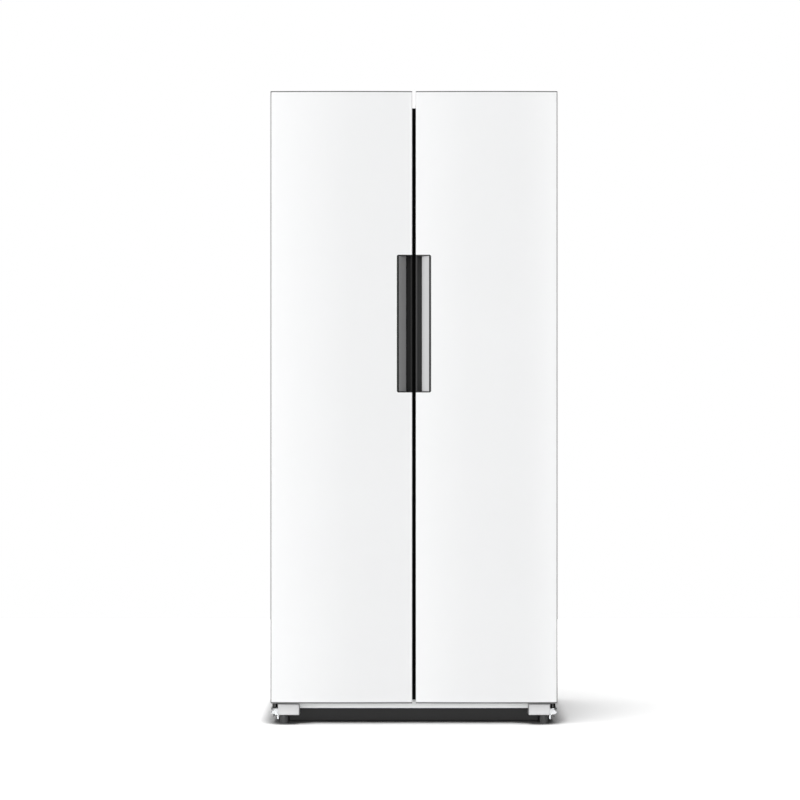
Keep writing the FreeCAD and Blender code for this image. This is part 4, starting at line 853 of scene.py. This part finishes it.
def copies_group():
    """One copy of an item at each point, turned as the point says and made into a single mesh."""
    group = bpy.data.node_groups.new("copies_at_points", "GeometryNodeTree")
    for label, kind in (("Geometry", "NodeSocketGeometry"), ("Item", "NodeSocketObject"),
                        ("Finish", "NodeSocketMaterial"), ("Spin", "NodeSocketFloat"), ("Seed", "NodeSocketInt")):
        group.interface.new_socket(label, in_out="INPUT", socket_type=kind)
    group.interface.new_socket("Geometry", in_out="OUTPUT", socket_type="NodeSocketGeometry")
    inlet = group.nodes.new("NodeGroupInput")
    outlet = group.nodes.new("NodeGroupOutput")
    item = group.nodes.new("GeometryNodeObjectInfo")
    turn = group.nodes.new("GeometryNodeInputNamedAttribute")
    turn.data_type = "FLOAT_VECTOR"
    turn.inputs["Name"].default_value = "turn"
    to_points = group.nodes.new("GeometryNodeMeshToPoints")
    place = group.nodes.new("GeometryNodeInstanceOnPoints")
    spin = group.nodes.new("FunctionNodeRandomValue")
    spin_axis = group.nodes.new("ShaderNodeCombineXYZ")
    rotate = group.nodes.new("GeometryNodeRotateInstances")
    realize = group.nodes.new("GeometryNodeRealizeInstances")
    paint = group.nodes.new("GeometryNodeSetMaterial")
    link = group.links.new
    link(inlet.outputs["Item"], item.inputs["Object"])
    link(inlet.outputs["Geometry"], to_points.inputs["Mesh"])
    link(to_points.outputs["Points"], place.inputs["Points"])
    link(item.outputs["Geometry"], place.inputs["Instance"])
    link(turn.outputs["Attribute"], place.inputs["Rotation"])
    link(inlet.outputs["Spin"], spin.inputs[3])
    link(inlet.outputs["Seed"], spin.inputs["Seed"])
    link(spin.outputs[1], spin_axis.inputs["Z"])
    link(place.outputs["Instances"], rotate.inputs["Instances"])
    link(spin_axis.outputs["Vector"], rotate.inputs["Rotation"])
    link(rotate.outputs["Instances"], realize.inputs["Geometry"])
    link(realize.outputs["Geometry"], paint.inputs["Geometry"])
    link(inlet.outputs["Finish"], paint.inputs["Material"])
    link(paint.outputs["Geometry"], outlet.inputs["Geometry"])
    return group


copies_at_points = copies_group()


def copies(item_mesh, places, turns, finish, spin=0.0, seed=3):
    """Mesh with the item repeated at the places, each turned by its own angles."""
    item = bpy.data.objects.new("item", item_mesh)
    points = bpy.data.meshes.new("points")
    points.from_pydata([tuple(place) for place in places], [], [])
    turn = points.attributes.new("turn", "FLOAT_VECTOR", "POINT")
    turn.data.foreach_set("vector", [angle for angles in turns for angle in angles])
    holder = bpy.data.objects.new("holder", points)
    bpy.context.scene.collection.objects.link(holder)
    repeat = holder.modifiers.new("repeat", "NODES")
    repeat.node_group = copies_at_points
    values = {"Item": item, "Finish": finish, "Spin": spin, "Seed": seed}
    for socket in copies_at_points.interface.items_tree:
        if socket.in_out == "INPUT" and socket.name in values:
            repeat[socket.identifier] = values[socket.name]
    baked(holder)
    result = holder.data
    bpy.data.objects.remove(holder)
    bpy.data.objects.remove(item)
    return result


zinc = noisy_finish("zinc_plated_steel", (0.55, 0.56, 0.58), (0.68, 0.69, 0.70), 0.28, 0.4, 0.1, broad=90,
                    fine=2600, shine={"Metallic": 0.9})
head_radius = 4.5 * mm
head_height = 2.4 * mm
recess_half = 0.55 * mm
recess_reach = 2.3 * mm
pan_profile = [(head_radius * 0.93, 0), (head_radius, 0.3 * mm), (head_radius, head_height * 0.42),
               (head_radius * 0.93, head_height * 0.72), (head_radius * 0.74, head_height * 0.93),
               (head_radius * 0.4, head_height)]
pan_head = piece("pan_head", turned(pan_profile, steps=32), zinc)
for half_x, half_y in ((recess_half, recess_reach), (recess_reach, recess_half)):
    cut_from(pan_head, block_mesh((-half_x, -half_y, head_height * 0.35), (half_x, half_y, head_height * 2)))
smoothed(pan_head.data, 35)
head_places = []
head_turns = []
back_y = cad_box[1][1]
rear_screw_reach = 100.0 * mm
for low, high in islands("cabinet_screws"):
    middle = (low + high) / 2
    if high.y > back_y - rear_screw_reach:
        head_places.append((middle.x, high.y - head_height, middle.z))
        head_turns.append((-math.pi / 2, 0, 0))
    else:
        head_places.append((middle.x, middle.y, high.z - head_height))
        head_turns.append((0, 0, 0))
screws = piece("cross_head_screws", copies(pan_head.data, head_places, head_turns, zinc, spin=1.5), zinc)
bpy.data.objects.remove(pan_head)
rides(screws, "cabinet_screws")


# ---------------------------------------------------------------- machine cover
# A galvanised cover closes the machine compartment. Each of its slots is a louvre, lanced and pressed
# outwards by the same die, and it holds the gland where the mains lead would enter.
cover = eased("machine_cover_sheet", "machine_cover", galvanised, 0.2 * mm, 1)
cover_low, cover_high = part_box("machine_cover")
hood_rise = 2.6 * mm
hood_half = 46.0 * mm
hood_columns = 5
hood_column_pitch = 102.0 * mm
hood_row_pitch = 14.0 * mm
lowest_hood = 43.0 * mm
hood_margin = 80.0 * mm
hood_sections = []
for step in range(13):
    share = step / 12
    x = -hood_half + 2 * hood_half * share
    height = hood_rise * min(1.0, math.sin(math.pi * share) * 5)
    hood_sections.append([(x, 0, 4.6 * mm), (x, height * 0.7, 3.6 * mm), (x, height, 2.0 * mm),
                          (x, height, -1.4 * mm), (x, height - 0.5 * mm, -1.4 * mm),
                          (x, max(height - 0.6 * mm, 0), 2.0 * mm), (x, 0, 3.6 * mm)])
hood = lofted(hood_sections, first_end=True, last_end=True)
smoothed(hood, 40)
hood_places = []
for column in range(hood_columns):
    for row in range(int((cover_high[2] - cover_low[2] - hood_margin) / hood_row_pitch)):
        hood_places.append(((column - (hood_columns - 1) / 2) * hood_column_pitch, cover_high[1] - hair / 2,
                            cover_low[2] + lowest_hood + row * hood_row_pitch))
hoods = copies(hood, hood_places, [(0, 0, 0)] * len(hood_places), galvanised)
cover.data = closed(opened(cover.data, hoods))
cover.data.materials.append(galvanised)
gland_plastic = noisy_finish("black_gland_plastic", grey(0.015), grey(0.022), 0.4, 0.55, 0.15, fine=1500)
low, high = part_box("mains_gland")
middle = ((low[0] + high[0]) / 2, low[1], (low[2] + high[2]) / 2)
length = high[1] - low[1]
gland_profile = [(4.5 * mm, 0), (8.4 * mm, 0), (9 * mm, 0.6 * mm), (9 * mm, length * 0.42),
                 (12.6 * mm, length * 0.43), (13 * mm, length * 0.46), (13 * mm, length * 0.58),
                 (9 * mm, length * 0.62),
                 (8.8 * mm, length * 0.7), (8.2 * mm, length * 0.72), (8.2 * mm, length * 0.78),
                 (8.8 * mm, length * 0.8), (8.6 * mm, length - 0.8 * mm), (7.8 * mm, length), (5 * mm, length),
                 (4.5 * mm, length - 0.8 * mm), (4.5 * mm, 0)]
fitted("lead_gland", turned(gland_profile, middle, "Y"), gland_plastic, 35, "mains_gland")


# ---------------------------------------------------------------- compressor and drip tray
# The compressor is a welded steel can sprayed black, on a foot plate with four rubber grommets. A plastic
# tray above it catches defrost water, which the can's warmth drives off.
def swept(path, radius, sides=12):
    """A tube of round section along a path of points, closed at both ends."""
    points = [Vector(point) for point in path]
    loops = []
    across = Vector((0, 0, 1))
    for index, point in enumerate(points):
        ahead = points[min(index + 1, len(points) - 1)] - points[max(index - 1, 0)]
        ahead.normalize()
        across = across - ahead * across.dot(ahead)
        if across.length < 1e-4:
            across = ahead.orthogonal()
        across.normalize()
        other = ahead.cross(across)
        loops.append([tuple(point + radius * (across * math.cos(2 * math.pi * step / sides) +
                                              other * math.sin(2 * math.pi * step / sides)))
                      for step in range(sides)])
    return lofted(loops, first_end=True, last_end=True)


compressor_paint = noisy_finish("black_compressor_paint", grey(0.014), grey(0.024), 0.32, 0.45, 0.35, broad=20,
                                fine=600, shine={"Coat Weight": 0.1})
low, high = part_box("compressor")
plate_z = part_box("compressor_mounts")[1][2]
middle = ((low[0] + high[0]) / 2, (low[1] + high[1]) / 2)
foot_plate = 3.0 * mm
can_radius = 62.0 * mm
can_low = plate_z + foot_plate
can_high = can_low + 105 * mm
can_bowl = 20.0 * mm
can_dome = 36.0 * mm
seam_z = can_low + 58 * mm
plate_half = 60.0 * mm
suction_radius = 5.0 * mm
plate = soft_block((low[0], middle[1] - plate_half, plate_z), (high[0], middle[1] + plate_half, can_low), 1.2 * mm)
can_profile = [(0, plate_z + 0.5 * mm), (36 * mm, plate_z + 0.5 * mm), (40 * mm, can_low + 1 * mm)]
can_profile += [(can_radius - can_bowl * (1 - sine), can_low + can_bowl * (1 - cosine))
                for sine, cosine in quarter(6)]
can_profile += [(can_radius, seam_z - 1 * mm), (can_radius + 2 * mm, seam_z),
                (can_radius + 2.5 * mm, seam_z + 1 * mm), (can_radius + 2.5 * mm, seam_z + 4 * mm),
                (can_radius + 1.5 * mm, seam_z + 5 * mm),
                (can_radius - 1 * mm, seam_z + 5.5 * mm)]
can_profile += [((can_radius - 1 * mm) * (0.34 + 0.66 * cosine), can_high - can_dome * (1 - sine))
                for sine, cosine in quarter(9)]
can_profile.append((0, can_high))
can = turned(can_profile, (middle[0], middle[1], 0), steps=72)
tube_x = middle[0] + 25 * mm
suction = swept([(tube_x, middle[1], can_high - 12 * mm), (tube_x, middle[1], high[2])], suction_radius, 20)
terminal = soft_block((middle[0] - 16 * mm, middle[1] - can_radius - 0.5 * mm, can_low + 30 * mm),
                      (middle[0] + 16 * mm, middle[1] - can_radius + 14 * mm, can_low + 55 * mm), 2.5 * mm, 3)
fitted("compressor_can", closed(opened(plate, can, suction, terminal)), compressor_paint, 35, "compressor")

mount_rubber = noisy_finish("black_mount_rubber", grey(0.02), grey(0.03), 0.6, 0.75, 0.2, fine=1400)
grommets = []
for low, high in islands("compressor_mounts"):
    tall = high.z - low.z
    wide = (high.x - low.x) / 2
    grommets.append(turned([(0, 0), (wide - 0.5 * mm, 0), (wide, 0.6 * mm), (wide, tall * 0.3),
                            (wide * 0.78, tall * 0.38), (wide * 0.74, tall * 0.5), (wide * 0.78, tall * 0.62),
                            (wide, tall * 0.7), (wide, tall - 0.6 * mm), (wide - 0.5 * mm, tall), (0, tall)],
                           ((low.x + high.x) / 2, (low.y + high.y) / 2, low.z), steps=32))
fitted("compressor_grommets", closed(opened(*grommets)), mount_rubber, 35, "compressor_mounts")

low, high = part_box("drip_tray")
tray_plastic = noisy_finish("grey_tray_plastic", grey(0.06), grey(0.08), 0.4, 0.5, 0.12, fine=900)
tray_wall = 2.0 * mm
tray_corner = 8.0 * mm
fitted("defrost_tray", tray_mesh(low, high, tray_wall, tray_corner), tray_plastic, 40, "drip_tray")


# ---------------------------------------------------------------- condenser and evaporator
# Both are aluminium: a serpentine tube pressed through a stack of thin fins, with the bends standing out at
# the ends.
coil_metal = noisy_finish("mill_aluminium", grey(0.60), grey(0.72), 0.3, 0.42, 0.2, broad=40, fine=900,
                          shine={"Metallic": 0.9})
tube_radius = 4.0 * mm
tube_end = 8.0 * mm
tube_bend = 3.5 * mm
coil_foot_rise = 6.0 * mm
coil_foot_length = 20.0 * mm
end_plate = 1.2 * mm
fin_count = 60
fin_thickness = 0.35 * mm
for node, name, rows in (("condenser", "finned_condenser", 5), ("evaporator", "finned_evaporator", 6)):
    low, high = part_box(node)
    x0 = low[0] + tube_end
    x1 = high[0] - tube_end
    z0 = low[2] + (coil_foot_rise if node == "condenser" else 0.0)
    depth = high[1] - low[1]
    tall = high[2] - z0
    fin_middle = ((low[1] + high[1]) / 2, (z0 + high[2]) / 2)
    fin = soft_block((-fin_thickness / 2, -depth / 2, -tall / 2), (fin_thickness / 2, depth / 2, tall / 2),
                     fin_thickness * 0.4, 1)
    fin_places = [(x0 + fin_thickness + (x1 - x0 - 2 * fin_thickness) * step / (fin_count - 1), *fin_middle)
                  for step in range(fin_count)]
    meshes = [copies(fin, fin_places, [(0, 0, 0)] * fin_count, coil_metal)]
    level = [(row, side) for row in range(rows) for side in ((0, 1) if row % 2 == 0 else (1, 0))]
    path = []
    for index, (row, side) in enumerate(level):
        y = low[1] + depth * (0.25 + 0.5 * side)
        z = z0 + tall * (row + 0.5) / rows
        near, far = (x0 - tube_bend, x1 + tube_bend) if index % 2 == 0 else (x1 + tube_bend, x0 - tube_bend)
        path += [(near, y, z), (far, y, z)]
    meshes.append(swept(path, tube_radius, 14))
    if node == "condenser":
        for foot_x in (x0, x1 - coil_foot_length):
            meshes.append(soft_block((foot_x, low[1], low[2]), (foot_x + coil_foot_length, high[1], z0 + 0.5 * mm),
                                     0.6 * mm))
    for end_x in (x0 - 0.5 * mm, x1 - 0.7 * mm):
        meshes.append(soft_block((end_x, low[1], z0), (end_x + end_plate, high[1], high[2]), 0.3 * mm, 1))
    fitted(name, closed(opened(*meshes)), coil_metal, 35, node)


# ---------------------------------------------------------------- fans
# Each fan is one moulded impeller with five swept and twisted blades on a hollow hub. The condenser's fan
# turns in a galvanised bracket that also carries its motor.
fan_plastic = noisy_finish("grey_fan_plastic", grey(0.10), grey(0.13), 0.4, 0.5, 0.1, fine=900)
hub_radius = 18.0 * mm
hub_length = 24.0 * mm
shaft_radius = 3.0 * mm
shaft_end = 10.0 * mm
blade_count = 5
blade_chord = 30.0 * mm
blade_camber = 2.4 * mm
blade_section = ((-0.5, 0.0), (-0.3, 0.8), (0, 1.0), (0.3, 0.8), (0.5, 0.0), (0.3, -0.6), (0, -0.8), (-0.3, -0.6))


def fan_mesh(tip_radius):
    """Impeller on the Z axis with its hub from 0 upwards and its shaft below."""
    meshes = [turned([(0, -shaft_end), (shaft_radius, -shaft_end), (shaft_radius, 0), (hub_radius - 1 * mm, 0),
                      (hub_radius, 1 * mm), (hub_radius, hub_length - 4 * mm),
                      (hub_radius - 1.2 * mm, hub_length - 1.2 * mm), (hub_radius - 4 * mm, hub_length),
                      (0, hub_length)], steps=48)]
    for blade in range(blade_count):
        sections = []
        for step in range(9):
            share = step / 8
            radius = hub_radius - 1.5 * mm + (tip_radius - hub_radius + 1.1 * mm) * share
            pitch = math.radians(34 - 10 * share)
            sweep_angle = 2 * math.pi * blade / blade_count + 0.16 * share ** 2
            chord = blade_chord * (0.9 + 0.1 * math.sin(math.pi * share)) * (1 - 0.25 * max(0, share - 0.85) / 0.15)
            section = []
            for along, thick in blade_section:
                camber = blade_camber * (1 - 4 * along * along)
                run = chord * along * math.cos(pitch) - (camber + thick * mm) * math.sin(pitch)
                rise = chord * along * math.sin(pitch) + (camber * 0.6 + thick * mm) * math.cos(pitch)
                angle = sweep_angle + run / radius
                section.append((radius * math.cos(angle), radius * math.sin(angle), hub_length / 2 + rise))
            sections.append(section)
        meshes.append(lofted(sections, first_end=True, last_end=True))
    return closed(opened(*meshes))


for node, axis in (("condenser_fan", "X"), ("evaporator_fan", "Y")):
    low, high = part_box(node)
    middle = [(low[i] + high[i]) / 2 for i in range(3)]
    mesh = fan_mesh((high[2] - low[2]) / 2)
    if axis == "X":
        mesh.transform(Matrix.Translation((low[0] + shaft_end, middle[1], middle[2])) @
                       Matrix.Rotation(math.pi / 2, 4, "Y"))
    else:
        mesh.transform(Matrix.Translation((middle[0], high[1] - shaft_end, middle[2])) @
                       Matrix.Rotation(math.pi / 2, 4, "X"))
    fitted(node + "_impeller", mesh, fan_plastic, 40, node)
eased("fan_bracket_pressing", "fan_bracket", galvanised, 0.5 * mm)


# ---------------------------------------------------------------- base, rollers and feet
# The base is folded from black-painted steel with a rail down each side. Two nylon rollers carry the back,
# and two levelling feet with knurled pads screw down at the front.
base_paint = noisy_finish("black_base_paint", grey(0.018), grey(0.026), 0.4, 0.5, 0.2, fine=700)
eased("base_pan", "base_frame", base_paint, sheet_fold)

roller_nylon = noisy_finish("grey_roller_nylon", grey(0.20), grey(0.24), 0.42, 0.55, 0.15, fine=900)
foot_plastic = noisy_finish("grey_foot_plastic", grey(0.045), grey(0.06), 0.45, 0.55, 0.15, fine=1500)
tyre_half = 11.0 * mm
pin_radius = 4.0 * mm
pad_top = 22.0 * mm
thread_radius = 5.0 * mm
thread_pitch = 1.0 * mm
rib_half = 0.6 * mm
rib_count = 36
for side in ("left", "right"):
    low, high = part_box("rear_roller_" + side)
    reach = (high[0] - low[0]) / 2
    tyre_radius = (high[2] - low[2]) / 2
    middle = [(low[i] + high[i]) / 2 for i in range(3)]
    profile = [(0, -reach), (pin_radius * 0.85, -reach), (pin_radius, -reach + 0.6 * mm),
               (pin_radius, -tyre_half - 0.5 * mm), (8 * mm, -tyre_half), (8 * mm, -tyre_half + 2 * mm),
               (14 * mm, -tyre_half + 2 * mm),
               (14.6 * mm, -tyre_half), (tyre_radius - 1.5 * mm, -tyre_half), (tyre_radius, -tyre_half + 1.5 * mm),
               (tyre_radius, -2.4 * mm), (tyre_radius - 0.9 * mm, -1.5 * mm)]
    profile += [(radius, -height) for radius, height in reversed(profile)]
    fitted("rear_roller_wheel_" + side, turned(profile, middle, "X", 56), roller_nylon, 30, "rear_roller_" + side)

    low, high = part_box("levelling_foot_" + side)
    pad_radius = (high[0] - low[0]) / 2
    middle = ((low[0] + high[0]) / 2, (low[1] + high[1]) / 2, 0)
    profile = [(0, low[2]), (pad_radius - 1.5 * mm, low[2]), (pad_radius - 0.5 * mm, 1.2 * mm),
               (pad_radius - 0.5 * mm, 19 * mm), (pad_radius - 2 * mm, pad_top), (thread_radius, pad_top)]
    thread_z = pad_top + 0.8 * mm
    while thread_z < high[2] - 2 * mm:
        profile += [(thread_radius - 0.7 * mm, thread_z), (thread_radius, thread_z + thread_pitch / 2)]
        thread_z += thread_pitch
    profile += [(4.6 * mm, high[2] - 0.8 * mm), (4.0 * mm, high[2]), (0, high[2])]
    pad = turned(profile, middle, steps=48)
    rib = soft_block((-rib_half, -rib_half, 2.2 * mm), (rib_half, rib_half, 18 * mm), rib_half / 2, 1)
    rib_turns = [(0, 0, 2 * math.pi * step / rib_count) for step in range(rib_count)]
    rib_places = [(middle[0] + (pad_radius - rib_half) * math.cos(turn[2]),
                   middle[1] + (pad_radius - rib_half) * math.sin(turn[2]), 0) for turn in rib_turns]
    ribs = copies(rib, rib_places, rib_turns, foot_plastic)
    fitted("knurled_foot_" + side, closed(opened(pad, ribs)), foot_plastic, 35, "levelling_foot_" + side)


# ---------------------------------------------------------------- kick plate and hinges
# A black moulded kick plate closes the base between the feet; its near-black tone also stands in as painted
# shade beneath the cabinet. The hinges are zinc-plated steel pressings: the upper arms are stepped down to
# the cabinet's top under plastic covers, and the lower brackets are bolted to the cabinet's front behind
# moulded covers.
# Near-black kick plate: partly its own colour, partly painted shade under the cabinet.
kick_plastic_and_painted_shade = noisy_finish("black_kick_plate_plastic_and_painted_shade", grey(0.009), grey(0.013), 0.45, 0.55, 0.15, fine=1200,
                            shine={"Specular IOR Level": 0.15})
eased("kick_plate_moulding", "kick_plate", kick_plastic_and_painted_shade, 0.8 * mm)
hinge_steel = noisy_finish("zinc_plated_hinge_steel", (0.20, 0.205, 0.21), (0.28, 0.285, 0.29), 0.32, 0.44, 0.15,
                           broad=30, fine=900, shine={"Metallic": 0.9})
cover_plastic = noisy_finish("light_grey_cover_plastic", grey(0.48), grey(0.51), 0.35, 0.45, 0.1, fine=1100)
for side in ("left", "right"):
    eased("lower_hinge_bracket_" + side, "lower_hinge_" + side, hinge_steel, 0.5 * mm)
    eased("upper_hinge_arm_" + side, "upper_hinge_" + side, hinge_steel, 0.5 * mm)
eased("lower_hinge_shells", "lower_hinge_covers", cover_plastic, 0.6 * mm)
eased("upper_hinge_shells", "upper_hinge_covers", cover_plastic, 0.6 * mm)
closer_plastic = noisy_finish("glossy_black_closer_plastic", grey(0.006), grey(0.010), 0.12, 0.2, 0.05, fine=1500)
eased("door_closer_cams", "door_closers", closer_plastic, 0.4 * mm)
